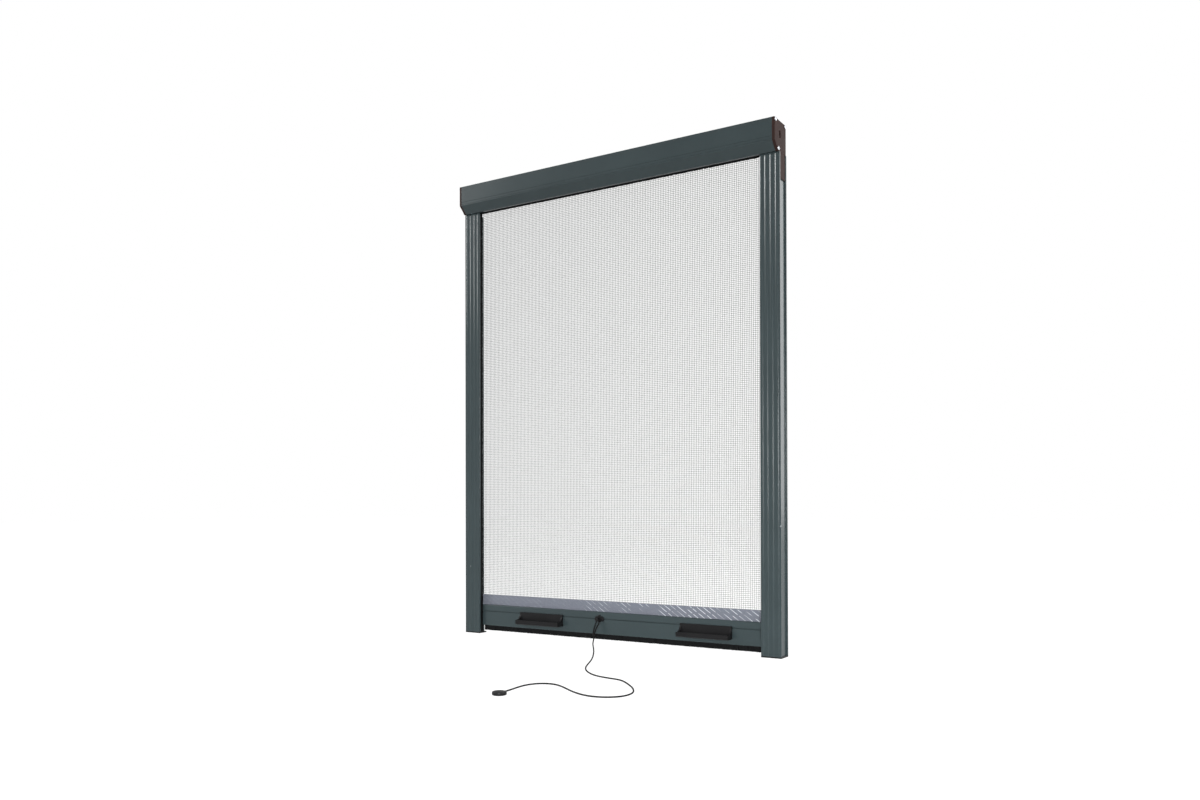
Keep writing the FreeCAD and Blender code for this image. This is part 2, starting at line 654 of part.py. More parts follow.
def spring_shaft():
    """Steel shaft of the spring, with a square end held by the left cap's slot."""
    end = spring_start_x() + SPRING_LENGTH + RUNNING_CLEARANCE + ANCHOR_FLANGE + SHAFT_PAST_ANCHOR
    half = SHAFT_SQUARE / 2
    flange_end = TUBE_END_X + PLUG_FLANGE + RUNNING_CLEARANCE
    square = box(
        -CAP_FACE_X + AXLE_RECESS, -flange_end,
        ROLLER_Y - half, ROLLER_Y + half, ROLLER_Z - half, ROLLER_Z + half,
    )
    return square.fuse(rod_x(SHAFT_RADIUS, -flange_end, end, ROLLER_Y, ROLLER_Z))


def spring_anchor():
    """Plug fixed on the shaft's inner end, which holds the far end of the spring."""
    start = spring_start_x() + SPRING_LENGTH + RUNNING_CLEARANCE
    centre, inward = Vector(start, ROLLER_Y, ROLLER_Z), Vector(1, 0, 0)
    hexagon = flat_sided(SPRING_INNER_RADIUS + SPRING_WIRE, centre, inward, ANCHOR_FLATS)
    anchor = Part.Face(hexagon).extrude(inward * ANCHOR_FLANGE)
    anchor = anchor.fuse(rod_x(PLUG_NOSE_RADIUS, start - PLUG_NOSE, start, ROLLER_Y, ROLLER_Z))
    return anchor.cut(rod_x(SHAFT_RADIUS, start - PLUG_NOSE, start + ANCHOR_FLANGE, ROLLER_Y, ROLLER_Z))


def torsion_spring():
    """Close-wound spring, drawn as the sleeve that its touching turns make."""
    start = spring_start_x()
    crest = SPRING_INNER_RADIUS + SPRING_WIRE
    return ring_x(crest, SPRING_INNER_RADIUS, start, start + SPRING_LENGTH, ROLLER_Y, ROLLER_Z)


def insect_net():
    """Hanging net, one thin wall: upright threads between narrow gaps, closed along its edges."""
    front = NET_Y - NET_THICKNESS / 2
    half = NET_WIDTH / 2

    def frame(x0, x1, z0, z1):
        return Part.makePolygon([
            Vector(x0, front, z0), Vector(x1, front, z0), Vector(x1, front, z1), Vector(x0, front, z1),
            Vector(x0, front, z0),
        ])

    pitch = 2 * GUIDE_INNER_X / NET_THREADS_SHOWN
    gap_half = (pitch - NET_THREAD) / 2
    wires = [frame(-half, half, HEM_TOP, ROLLER_Z)]
    for index in range(NET_THREADS_SHOWN):
        middle = -GUIDE_INNER_X + (index + 0.5) * pitch
        wires.append(frame(middle - gap_half, middle + gap_half, HEM_TOP + NET_EDGE, ROLLER_Z - NET_TOP_EDGE))
    return Part.makeFace(wires, "Part::FaceMakerCheese").extrude(Vector(0, NET_THICKNESS, 0))


def hem_strip():
    """Woven tape along the net's bottom edge, from the keder in the bar up to the net."""
    half_width = NET_WIDTH / 2 - RUNNING_CLEARANCE
    half = HEM_THICKNESS / 2
    bottom = BAR_KEDER_Z + BOTTOM_KEDER_RADIUS
    return box(-half_width, half_width, NET_Y - half, NET_Y + half, bottom, HEM_TOP)


def bottom_keder():
    """Round rod of the tape, slid into the bar."""
    return rod_x(BOTTOM_KEDER_RADIUS, -BAR_END_X, BAR_END_X, NET_Y, BAR_KEDER_Z)


def bottom_bar():
    """Extruded bar: hollow, with a front slot for grips, a keder groove and a brush channel."""
    ends = (-BAR_END_X, BAR_END_X)
    rear = BAR_FRONT_Y + BAR_DEPTH
    bar = box(*ends, BAR_FRONT_Y, rear, BAR_BOTTOM, BAR_TOP)
    long_edges = [edge for edge in bar.Edges if abs(edge.Length - 2 * BAR_END_X) < TOLERANCE]
    bar = bar.makeFillet(BAR_EDGE_ROUND, long_edges)
    slot_low, slot_high = BAR_SLOT_Z - BAR_SLOT_HEIGHT / 2, BAR_SLOT_Z + BAR_SLOT_HEIGHT / 2
    slot_back = BAR_FRONT_Y + BAR_WALL + BAR_SLOT_DEPTH
    bar = bar.cut(box(*ends, BAR_FRONT_Y + BAR_WALL, slot_back, slot_low, slot_high))
    mouth = BAR_SLOT_MOUTH / 2
    bar = bar.cut(box(*ends, BAR_FRONT_Y - OVERSHOOT, slot_back, BAR_SLOT_Z - mouth, BAR_SLOT_Z + mouth))
    bar = bar.cut(rod_x(BAR_KEDER_BORE, *ends, NET_Y, BAR_KEDER_Z))
    mouth = BAR_KEDER_MOUTH / 2
    bar = bar.cut(box(*ends, NET_Y - mouth, NET_Y + mouth, BAR_KEDER_Z, BAR_TOP + OVERSHOOT))
    low, high = bar_pocket()
    half = BAR_BRUSH_BASE / 2 + BRUSH_SLACK
    bar = bar.cut(box(*ends, NET_Y - half, NET_Y + half, low, high))
    mouth = half - HOOK_REACH
    bar = bar.cut(box(*ends, NET_Y - mouth, NET_Y + mouth, BAR_BOTTOM - OVERSHOOT, high))
    return bar.cut(bar_hollow(0, *ends))


def bar_pocket():
    """Bottom and top of the bar's brush pocket."""
    low = BAR_BOTTOM + HOOK_THICKNESS
    return low, low + POCKET_DEPTH


def bar_hollow(clearance, x0, x1):
    """Hollow of the bar, or what fits in it with a clearance."""
    front, rear = BAR_FRONT_Y + BAR_WALL + clearance, BAR_FRONT_Y + BAR_DEPTH - BAR_WALL - clearance
    low = bar_pocket()[1] + BAR_WALL + clearance
    high = BAR_KEDER_Z - BAR_KEDER_BORE - BAR_WALL - clearance
    hollow = box(x0, x1, front, rear, low, high)
    slot_wall = BAR_SLOT_HEIGHT / 2 + BAR_WALL + clearance
    slot_back = BAR_FRONT_Y + 2 * BAR_WALL + BAR_SLOT_DEPTH + clearance
    return hollow.cut(box(x0, x1, front, slot_back, BAR_SLOT_Z - slot_wall, BAR_SLOT_Z + slot_wall))


def bar_brush():
    """Strip brush under the bar, which seals on the sill."""
    root = bar_pocket()[0] + BRUSH_SLACK + BRUSH_BACKING
    section = brush_section(BAR_BRUSH_BASE, PILE_THICKNESS, root - BAR_BOTTOM + BAR_PILE_HEIGHT)
    return along_x([(NET_Y + across, root - up) for across, up in section], -BAR_END_X, BAR_END_X)


def bar_slider_right():
    """Moulded end of the bar: plug in the bar, tongue between the brushes, head and keel in the guide."""
    start = BAR_END_X - SLIDER_PLUG
    plug = bar_hollow(FIT_CLEARANCE, start, BAR_END_X)
    head_inner = on_guide(RUNWAY_END - RUNNING_CLEARANCE, 0)[0]
    head_outer = on_guide(RUNWAY_START + RUNNING_CLEARANCE, 0)[0]
    half = SLIDER_TONGUE / 2
    tongue = box(start, head_inner, NET_Y - half, NET_Y + half, SLIDER_HEAD_BOTTOM, SLIDER_TONGUE_TOP)
    front = GUIDE_FRONT_Y + GUIDE_WALL + RUNNING_CLEARANCE
    head = box(head_inner, head_outer, front, NET_Y + half, SLIDER_HEAD_BOTTOM, SLIDER_HEAD_TOP)
    rear = BACK_Y - GUIDE_WALL - POCKET_DEPTH - HOOK_THICKNESS - RUNNING_CLEARANCE
    leg = box(head_outer - SLIDER_LEG, head_outer, NET_Y, rear, SLIDER_HEAD_BOTTOM, SLIDER_HEAD_TOP)
    half = SLIDER_KEEL / 2
    keel = box(head_inner, head_outer, NET_Y - half, NET_Y + half, SLIDER_KEEL_BOTTOM, SLIDER_HEAD_BOTTOM)
    return plug.fuse([tongue, head, leg, keel])


def slot_foot(x0, x1):
    """Foot and neck that hold a piece in the bar's front slot."""
    neck_half = BAR_SLOT_MOUTH / 2 - FIT_CLEARANCE
    foot_half = BAR_SLOT_HEIGHT / 2 - FIT_CLEARANCE
    start = BAR_FRONT_Y + BAR_WALL + FIT_CLEARANCE
    neck = box(x0, x1, BAR_FRONT_Y - OVERSHOOT, start, BAR_SLOT_Z - neck_half, BAR_SLOT_Z + neck_half)
    end = BAR_FRONT_Y + BAR_WALL + BAR_SLOT_DEPTH - FIT_CLEARANCE
    return neck.fuse(box(x0, x1, start, end, BAR_SLOT_Z - foot_half, BAR_SLOT_Z + foot_half))


def finger_grip(middle):
    """Moulded finger grip: back plate, hollow cheeks and a shelf with a raised lip."""
    x0, x1 = middle - GRIP_LENGTH / 2, middle + GRIP_LENGTH / 2
    wall, tip = BAR_FRONT_Y, BAR_FRONT_Y - GRIP_REACH
    plate = wall - GRIP_PLATE
    sweep = Vector(x0, plate - GRIP_SWEEP * GRIP_REACH, GRIP_LIP_TOP + GRIP_SWEEP * (GRIP_TOP - GRIP_LIP_TOP))
    corner = GRIP_ROUND
    bulge = corner * (1 - math.sqrt(0.5))
    outline = Part.Wire([
        Part.makeLine(Vector(x0, wall, GRIP_TOP), Vector(x0, wall, GRIP_BOTTOM)),
        Part.makeLine(Vector(x0, wall, GRIP_BOTTOM), Vector(x0, tip + corner, GRIP_BOTTOM)),
        Part.Arc(
            Vector(x0, tip + corner, GRIP_BOTTOM),
            Vector(x0, tip + bulge, GRIP_BOTTOM + bulge),
            Vector(x0, tip, GRIP_BOTTOM + corner),
        ).toShape(),
        Part.makeLine(Vector(x0, tip, GRIP_BOTTOM + corner), Vector(x0, tip, GRIP_LIP_TOP)),
        Part.makeLine(Vector(x0, tip, GRIP_LIP_TOP), Vector(x0, tip + GRIP_LIP, GRIP_LIP_TOP)),
        Part.Arc(
            Vector(x0, tip + GRIP_LIP, GRIP_LIP_TOP),
            sweep,
            Vector(x0, plate, GRIP_TOP),
        ).toShape(),
        Part.makeLine(Vector(x0, plate, GRIP_TOP), Vector(x0, wall, GRIP_TOP)),
    ])
    grip = Part.Face(outline).extrude(Vector(x1 - x0, 0, 0))
    hollow = box(
        x0 + GRIP_CHEEK, x1 - GRIP_CHEEK,
        tip + GRIP_LIP, plate,
        GRIP_BOTTOM + GRIP_FLOOR, GRIP_TOP + OVERSHOOT,
    )
    half_foot = GRIP_FOOT_LENGTH / 2
    return grip.cut(hollow).fuse(slot_foot(middle - half_foot, middle + half_foot))


def clip_eye():
    """Centre of the hole in the clip's nose: distance in Y and height."""
    return BAR_FRONT_Y - CLIP_PLATE - CLIP_NOSE_REACH / 2, BAR_SLOT_Z - CLIP_EYE_DROP


def cord_clip():
    """Clip in the bar's slot with a nose that the cord's loop goes through."""
    half = CLIP_WIDTH / 2
    low, high = BAR_SLOT_Z - CLIP_HEIGHT / 2, BAR_SLOT_Z + CLIP_HEIGHT / 2
    plate = box(CLIP_X - half, CLIP_X + half, BAR_FRONT_Y - CLIP_PLATE, BAR_FRONT_Y, low, high)
    corners = [edge for edge in plate.Edges if abs(edge.Length - CLIP_PLATE) < TOLERANCE]
    plate = plate.makeFillet(CLIP_HEIGHT / 3, corners)
    y, z = clip_eye()
    nose_half = CLIP_NOSE_WIDTH / 2
    radius = CLIP_NOSE_REACH / 2
    nose = rod_x(radius, CLIP_X - nose_half, CLIP_X + nose_half, y, z)
    root = (y, BAR_FRONT_Y - CLIP_PLATE, z - radius, z + radius)
    nose = nose.fuse(box(CLIP_X - nose_half, CLIP_X + nose_half, *root))
    clip = plate.fuse([nose, slot_foot(CLIP_X - half, CLIP_X + half)])
    return clip.cut(rod_x(CLIP_EYE_RADIUS, CLIP_X - half, CLIP_X + half, y, z))


def rounded_path(points, report):
    """Edges of a route: straight runs joined by tangent arcs, each as large as its runs allow."""
    corners = [Vector(*point) for point in points]
    edges, radii = [], []
    last = corners[0]
    for before, corner, after in zip(corners, corners[1:], corners[2:]):
        back, forward = (before - corner), (after - corner)
        shorter = min(back.Length, forward.Length)
        half_turn = (math.pi - back.getAngle(forward)) / 2
        cut = ARC_SHARE * shorter
        radii.append(cut / math.tan(half_turn))
        entry = corner + back.normalize() * cut
        leave = corner + forward.normalize() * cut
        bisector = (back + forward).normalize()
        depth = radii[-1] * (1 / math.cos(half_turn) - 1)
        edges.append(Part.makeLine(last, entry))
        edges.append(Part.Arc(entry, corner + bisector * depth, leave).toShape())
        last = leave
    edges.append(Part.makeLine(last, corners[-1]))
    print(report, "arc radii:", " ".join(f"{radius:.1f}" for radius in radii))
    return Part.Wire(edges)


def braided_cord(points, report):
    """Cord along a route, with flats that stand for the round braid."""
    path = rounded_path(points, report)
    start, ahead = Vector(*points[0]), Vector(*points[1])
    section = flat_sided(CORD_RADIUS, start, ahead - start, CORD_FLATS)
    cord = path.makePipeShell([section], True, True)
    by_volume = cord.Volume / Part.Face(section).Area
    print(report, f"length {path.Length:.1f}  volume over section {by_volume:.1f}")
    return cord


def cord_loop():
    """Doubled end of the cord: a loop through the clip's nose, closed by a knot."""
    side = CLIP_NOSE_WIDTH / 2 + LOOP_SLACK + CORD_RADIUS
    half = LOOP_SIDE + [(side, *clip_eye())]
    route = [(CLIP_X - out, y, z) for out, y, z in half]
    route += [(CLIP_X + out, y, z) for out, y, z in half[::-1]]
    low = Vector(*CORD_ROUTE[0])
    up = Vector(0, 0, KNOT_HEIGHT / 2)
    radii = (KNOT_END_RADIUS, KNOT_RADIUS, KNOT_END_RADIUS)
    rings = [flat_sided(radius, low + up * level, up, CORD_FLATS) for level, radius in enumerate(radii)]
    knot = Part.makeLoft(rings, True, True)
    return braided_cord(route, "cord loop").fuse(knot)


def pull_cord():
    """Single cord from the knot down to the floor and along it to the pull."""
    return braided_cord(CORD_ROUTE, "pull cord")


def cord_pull():
    """Moulded disc on the cord's free end, lying flat."""
    x, y = PULL_PLACE
    return Part.makeCylinder(PULL_RADIUS, PULL_THICKNESS, Vector(x, y, 0))


save("cassette_box", cassette_box())
save("cassette_brush", cassette_brush())
save("cap_screws", cap_screws())
save("roller_tube", roller_tube())
save("top_keder", top_keder())
save("net_roll", net_roll())
save("spring_plug", mirrored(tube_plug(SHAFT_RADIUS + BEARING_CLEARANCE, PLUG_NOSE)))
save("idle_plug", tube_plug(PIN_RADIUS, nose=0))
save("idle_pin", idle_pin())
save("spring_shaft", spring_shaft())
save("spring_anchor", spring_anchor())
save("torsion_spring", torsion_spring())
save("insect_net", insect_net())
save("hem_strip", hem_strip())
save("bottom_keder", bottom_keder())
save("bottom_bar", bottom_bar())
save("bar_brush", bar_brush())
save("cord_clip", cord_clip())
save("cord_loop", cord_loop())
save("pull_cord", pull_cord())
save("cord_pull", cord_pull())
for side, middle in GRIP_PLACES.items():
    save(f"finger_grip_{side}", finger_grip(middle))

handed_pieces = {
    "end_cap": end_cap_right(),
    "guide": guide_right(),
    "guide_brush_front": guide_brush_right(in_rear=False),
    "guide_brush_rear": guide_brush_right(in_rear=True),
    "foot": foot_right(),
    "bar_slider": bar_slider_right(),
}
for name, shape in handed_pieces.items():
    save(f"{name}_right", shape)
    save(f"{name}_left", mirrored(shape))
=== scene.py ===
# %% [markdown]
# A roller insect screen for a window: a powder-coated aluminium cassette with end caps, two guide
# channels, a net that unrolls from the cassette, and a bottom bar with two finger grips and a pull cord.
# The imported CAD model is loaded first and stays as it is. Everything after that adds finish and the soft
# pieces that a solid can only stand in for. One unit is one metre, and a place is the place in the CAD.

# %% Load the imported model
import math

import bmesh
import bpy
from mathutils import Matrix, Vector


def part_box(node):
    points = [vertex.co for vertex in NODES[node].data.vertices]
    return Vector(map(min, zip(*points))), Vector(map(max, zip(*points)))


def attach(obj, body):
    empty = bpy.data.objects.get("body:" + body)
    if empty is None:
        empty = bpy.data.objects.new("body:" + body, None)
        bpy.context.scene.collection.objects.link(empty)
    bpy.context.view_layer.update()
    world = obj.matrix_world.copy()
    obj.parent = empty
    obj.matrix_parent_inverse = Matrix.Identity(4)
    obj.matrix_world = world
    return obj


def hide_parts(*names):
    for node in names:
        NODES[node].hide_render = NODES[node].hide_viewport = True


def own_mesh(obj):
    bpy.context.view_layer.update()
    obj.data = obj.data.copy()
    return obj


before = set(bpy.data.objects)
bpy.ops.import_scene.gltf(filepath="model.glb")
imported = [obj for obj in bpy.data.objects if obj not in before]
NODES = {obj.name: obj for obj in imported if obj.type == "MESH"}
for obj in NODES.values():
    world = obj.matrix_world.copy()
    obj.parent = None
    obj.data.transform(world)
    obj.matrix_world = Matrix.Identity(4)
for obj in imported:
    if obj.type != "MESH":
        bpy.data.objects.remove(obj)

for name in ("Cube", "Light", "Camera"):
    if name in bpy.data.objects:
        bpy.data.objects.remove(bpy.data.objects[name])
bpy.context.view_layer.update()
MM = 0.001

# %% [markdown]
# The camera stands low on the right of the screen and looks slightly up, as in a product photograph taken
# with a short lens. A view camera keeps its back upright and raises its lens board, so the upright edges
# stay parallel: Blender's shift does the same, and it is only as large as that framing needs.

# %% Camera
CAMERA_PLACE = (0.8381, -1.4010, 0.2262)
CAMERA_YAW, CAMERA_PITCH, CAMERA_ROLL = 32.806, 0.429, -0.124
CAMERA_LENS = 29.684
CAMERA_SHIFT = (0.0199, 0.0826)


def aim(yaw, pitch, roll):
    """The camera's turn as a matrix: yaw towards -X, pitch above the horizon, roll about its own axis."""
    right = Vector((math.cos(yaw), math.sin(yaw), 0))
    ahead = Vector((-math.sin(yaw), math.cos(yaw), 0))
    above = Vector((0, 0, 1))
    look = ahead * math.cos(pitch) + above * math.sin(pitch)
    up = above * math.cos(pitch) - ahead * math.sin(pitch)
    across = right * math.cos(roll) + up * math.sin(roll)
    upright = up * math.cos(roll) - right * math.sin(roll)
    return Matrix((across, upright, -look)).transposed()


camera = bpy.data.objects.new("camera", bpy.data.cameras.new("camera"))
bpy.context.scene.collection.objects.link(camera)
camera.data.sensor_width, camera.data.lens = 36, CAMERA_LENS
camera.data.shift_x, camera.data.shift_y = CAMERA_SHIFT
camera.data.clip_start, camera.data.clip_end = 0.05, 50
turn = aim(*(math.radians(a) for a in (CAMERA_YAW, CAMERA_PITCH, CAMERA_ROLL)))
camera.matrix_world = Matrix.Translation(CAMERA_PLACE) @ turn.to_4x4()
bpy.context.scene.camera = camera
bpy.context.scene.view_settings.view_transform = "Standard"
print("camera at", CAMERA_PLACE, "lens", CAMERA_LENS, "mm")

# %% [markdown]
# Every material is a small tree of nodes, and so is every repeated shape. One function adds a node of any
# kind: its settings go by name, and an input takes either a plain value or another node to link from.
# Colours are written as sRGB hex, as a paint card gives them, and one function turns them to the linear
# numbers that Blender calculates with.

# %% Helpers for nodes and colours
def linear(code):
    """An sRGB hex colour as linear RGBA."""
    parts = [int(code[i:i + 2], 16) / 255 for i in (1, 3, 5)]
    return (*(p / 12.92 if p <= 0.04045 else ((p + 0.055) / 1.055) ** 2.4 for p in parts), 1.0)


def add(tree, kind, inputs=None, **settings):
    """Adds a node: settings are its own properties, inputs are values, sockets or nodes to link from."""
    made = tree.nodes.new(kind)
    for name, value in settings.items():
        setattr(made, name, value)
    for key, value in (inputs or {}).items():
        if isinstance(value, bpy.types.Node):
            value = value.outputs[0]
        if isinstance(value, bpy.types.NodeSocket):
            tree.links.new(value, made.inputs[key])
        else:
            made.inputs[key].default_value = value
    return made


def finish(name, shader, bump=None, colour=None, roughness=None):
    """Ends a material: a Principled shader with constants on its own sockets, and links where they vary."""
    material = bpy.data.materials[name]
    tree = material.node_tree
    made = add(tree, "ShaderNodeBsdfPrincipled", shader)
    for socket, source in (("Normal", bump), ("Base Color", colour), ("Roughness", roughness)):
        if source is not None:
            tree.links.new(source.outputs[0] if isinstance(source, bpy.types.Node) else source,
                           made.inputs[socket])
    add(tree, "ShaderNodeOutputMaterial", {"Surface": made})
    print("material", name, "with", len(tree.nodes), "nodes")
    return material


def start(name):
    """A new empty material and its tree."""
    material = bpy.data.materials.new(name)
    material.use_nodes = True
    material.node_tree.nodes.clear()
    return material.node_tree


def place_on(tree, scale=(1, 1, 1)):
    """Object coordinates through a Mapping node, which can stretch a pattern along one direction."""
    where = add(tree, "ShaderNodeTexCoord")
    return add(tree, "ShaderNodeMapping", {"Vector": where.outputs["Object"], "Scale": scale})

# %% [markdown]
# The screen stands on a plain pale floor in soft studio light. The photograph's ground and background are
# white, so the floor and the world show white to the camera, and to rays that a glossy or clear surface
# sends out. To every other ray they are a plain pale surface, which lights the dark paint as a studio does.

# %% Floor and world
FLOOR_GLOW = 0.93
FLOOR_SHADOWS = 0.17
WORLD_LIGHT = 0.45
HALF_FLOOR = 14
WHITE = (1, 1, 1, 1)


def white_rays(tree):
    """1 for a ray that sees white: from the camera, off a glossy surface or through a clear one."""
    path = add(tree, "ShaderNodeLightPath")
    seen = add(tree, "ShaderNodeMath", {0: path.outputs["Is Camera Ray"], 1: path.outputs["Is Glossy Ray"]},
               operation="MAXIMUM")
    return add(tree, "ShaderNodeMath", {0: seen, 1: path.outputs["Is Transmission Ray"]}, operation="MAXIMUM")


tree = start("studio floor")
lit = add(tree, "ShaderNodeBsdfDiffuse", {"Color": linear("#e6e6e6")})
faint = add(tree, "ShaderNodeBsdfDiffuse", {"Color": (FLOOR_SHADOWS, FLOOR_SHADOWS, FLOOR_SHADOWS, 1)})
glow = add(tree, "ShaderNodeEmission", {"Color": WHITE, "Strength": FLOOR_GLOW})
bright = add(tree, "ShaderNodeAddShader", {0: faint, 1: glow})
mixed = add(tree, "ShaderNodeMixShader", {0: white_rays(tree), 1: lit, 2: bright})
add(tree, "ShaderNodeOutputMaterial", {"Surface": mixed})

floor_mesh = bpy.data.meshes.new("floor")
floor_mesh.from_pydata([(x * HALF_FLOOR, y * HALF_FLOOR, 0) for x, y in ((-1, -1), (1, -1), (1, 1), (-1, 1))],
                       [], [(0, 1, 2, 3)])
floor = bpy.data.objects.new("floor", floor_mesh)
bpy.context.scene.collection.objects.link(floor)
floor_mesh.materials.append(bpy.data.materials["studio floor"])

world = bpy.data.worlds.new("studio")
world.use_nodes = True
world.node_tree.nodes.clear()
tree = world.node_tree
soft = add(tree, "ShaderNodeBackground", {"Color": WHITE, "Strength": WORLD_LIGHT})
white = add(tree, "ShaderNodeBackground", {"Color": WHITE, "Strength": 1.0})
mixed = add(tree, "ShaderNodeMixShader", {0: white_rays(tree), 1: soft, 2: white})
add(tree, "ShaderNodeOutputWorld", {"Surface": mixed})
bpy.context.scene.world = world
print("floor is", 2 * HALF_FLOOR, "m wide, and the world lights at", WORLD_LIGHT)

# %% [markdown]
# A big soft lamp on the right lights the guides' outer sides, a weak one in front opens the shadows, and one
# behind the net draws the edges. Two strips stand far out on the left, each at the place whose reflection
# falls on the flutes of one guide: that is how a photographer puts bright lines on a dark ribbed profile.

# %% Lamps
def lamp(name, place, target, size, watts, spread=180):
    """An area lamp, wide and high in metres, that looks at a point and spreads by some degrees."""
    data = bpy.data.lights.new(name, "AREA")
    data.shape, data.energy, data.spread = "RECTANGLE", watts, math.radians(spread)
    data.size, data.size_y = size
    made = bpy.data.objects.new(name, data)
    bpy.context.scene.collection.objects.link(made)
    look = (Vector(target) - Vector(place)).to_track_quat("-Z", "Y")
    made.matrix_world = Matrix.LocRotScale(Vector(place), look, None)
    print("lamp", name, "at", place, "with", watts, "W")


lamp("key from the right", (2.7, 0.3, 1.3), (0, 0, 0.4), (1.5, 1.5), 60)
lamp("fill from the front", (1.5, -2.7, 0.5), (0, 0, 0.0), (1.2, 0.4), 10, 50)
lamp("rim from behind", (1.5, 2.4, 0.95), (0.3, 0, 0.4), (1.2, 1.6), 14)
lamp("strip for the right guide", (-3.0, -2.29, 2.2), (0.28, 0, 0.72), (0.5, 0.7), 62)
lamp("strip for the left guide", (-2.66, -0.77, 1.36), (-0.28, 0, 0.7), (0.3, 0.6), 9)
lamp("top", (0.2, -0.3, 2.8), (0, 0, 0.4), (1.6, 1.6), 6)

# %% [markdown]
# The cassette, the guides and the bottom bar are aluminium, extruded through a die and then coated with
# powder that melts to a skin about 0.07 mm thick in an oven. The skin is a grey that leans to green, with a
# sheen that carries soft highlights, and it shows a very fine orange peel. Two layers of noise give the
# peel and a slight mottle, and a Bevel node rounds the light at every edge, because the edges of a coated
# profile are never sharp. The photograph shows two marks of wear, a nick low on the right guide's outer edge
# and a speck on the left guide. Each is a small spot round a point, where the grey metal shows through, and
# the peel makes its border ragged.

# %% Powder-coated aluminium
PEEL = 1.6 * MM
MOTTLE = 90 * MM
WEAR = (((0.2991, -0.0056, 0.1965), 0.0015), ((-0.288, -0.0058, 0.119), 0.0009))
RAGGED = (0.004, 0.003, 0.006)
tree = start("powder-coated aluminium")
where = place_on(tree)
peel = add(tree, "ShaderNodeTexNoise", {"Vector": where, "Scale": 1 / PEEL, "Detail": 2.0})
mottle = add(tree, "ShaderNodeTexNoise", {"Vector": where, "Scale": 1 / MOTTLE, "Detail": 3.0})
colour = add(tree, "ShaderNodeMix", {0: mottle, 6: linear("#293234"), 7: linear("#303a3c")},
             data_type="RGBA")
worn = 0.0
ragged = add(tree, "ShaderNodeVectorMath", {0: peel, 1: RAGGED, 2: where}, operation="MULTIPLY_ADD")
for place, reach in WEAR:
    spot_middle = [value + stray / 2 for value, stray in zip(place, RAGGED)]
    away = add(tree, "ShaderNodeVectorMath", {0: ragged, 1: spot_middle}, operation="DISTANCE")
    spot = add(tree, "ShaderNodeMapRange", {"Value": away.outputs["Value"], "From Min": reach,
                                            "From Max": reach * 0.6})
    worn = add(tree, "ShaderNodeMath", {0: worn, 1: spot}, operation="MAXIMUM")
colour = add(tree, "ShaderNodeMix", {0: worn, 6: colour.outputs["Result"], 7: linear("#9aa0a2")},
             data_type="RGBA")
rough = add(tree, "ShaderNodeMapRange", {"Value": mottle, "To Min": 0.18, "To Max": 0.24})
edge = add(tree, "ShaderNodeBevel", {"Radius": 0.0004}, samples=4)
bump = add(tree, "ShaderNodeBump", {"Height": peel, "Normal": edge, "Strength": 0.16, "Distance": 0.0002})
POWDER = finish("powder-coated aluminium", {"Specular IOR Level": 0.2, "IOR": 1.5}, bump,
                colour.outputs["Result"], rough)

# %% [markdown]
# The moulded pieces are ABS and nylon, injected into a spark-eroded steel mould, which leaves a fine even
# grain. The end caps are a warm brown black, and the grips, the clip, the feet and the pull disc are black.
# One tree makes each of them: the colours, the sheen and the size of the grain are what differs.

# %% Moulded plastics
CLOUD_GRAINS = 22


def moulded(name, dark, light, grain, roughness, depth, specular=0.12):
    """A moulded plastic with a spark-eroded grain of that size in metres."""
    tree = start(name)
    where = place_on(tree)
    pits = add(tree, "ShaderNodeTexVoronoi", {"Vector": where, "Scale": 1 / grain})
    cloud = add(tree, "ShaderNodeTexNoise", {"Vector": where, "Scale": 1 / (grain * CLOUD_GRAINS),
                                             "Detail": 2.0})
    colour = add(tree, "ShaderNodeMix", {0: cloud, 6: linear(dark), 7: linear(light)}, data_type="RGBA")
    rough = add(tree, "ShaderNodeMapRange", {"Value": cloud, "To Min": roughness - 0.06,
                                             "To Max": roughness + 0.06})
    edge = add(tree, "ShaderNodeBevel", {"Radius": 0.0003}, samples=4)
    bump = add(tree, "ShaderNodeBump", {"Height": pits, "Normal": edge, "Strength": depth,
                                        "Distance": 0.0002})
    return finish(name, {"IOR": 1.53, "Specular IOR Level": specular}, bump, colour.outputs["Result"], rough)


CAP_PLASTIC = moulded("moulded ASA, brown black", "#241917", "#30221f", 0.0011, 0.6, 0.2, 0.06)
BLACK_PLASTIC = moulded("moulded nylon, black", "#0d0d0e", "#161617", 0.0009, 0.42, 0.2)
INNER_PLASTIC = moulded("moulded acetal, natural", "#b9b6ab", "#cfccc2", 0.0012, 0.4, 0.1, 0.4)

# %% [markdown]
# The metal inside is of two kinds. The roller tube is bare aluminium as it leaves the die, with fine lines
# along its length. The spring, its shaft and the screws are steel with a bright zinc coat, which is
# mottled in small spangles and slightly blue.

# %% Bare metals
def bare_metal(name, dark, light, stretch, spangle, roughness):
    """A bare metal whose pattern is stretched along one direction by the given scale."""
    tree = start(name)
    where = place_on(tree, stretch)
    lines = add(tree, "ShaderNodeTexNoise", {"Vector": where, "Scale": 1 / spangle, "Detail": 3.0})
    colour = add(tree, "ShaderNodeMix", {0: lines, 6: linear(dark), 7: linear(light)}, data_type="RGBA")
    rough = add(tree, "ShaderNodeMapRange", {"Value": lines, "To Min": roughness - 0.1,
                                             "To Max": roughness + 0.1})
    edge = add(tree, "ShaderNodeBevel", {"Radius": 0.0002}, samples=4)
    bump = add(tree, "ShaderNodeBump", {"Height": lines, "Normal": edge, "Strength": 0.12,
                                        "Distance": 0.0001})
    return finish(name, {"Metallic": 1.0}, bump, colour.outputs["Result"], rough)


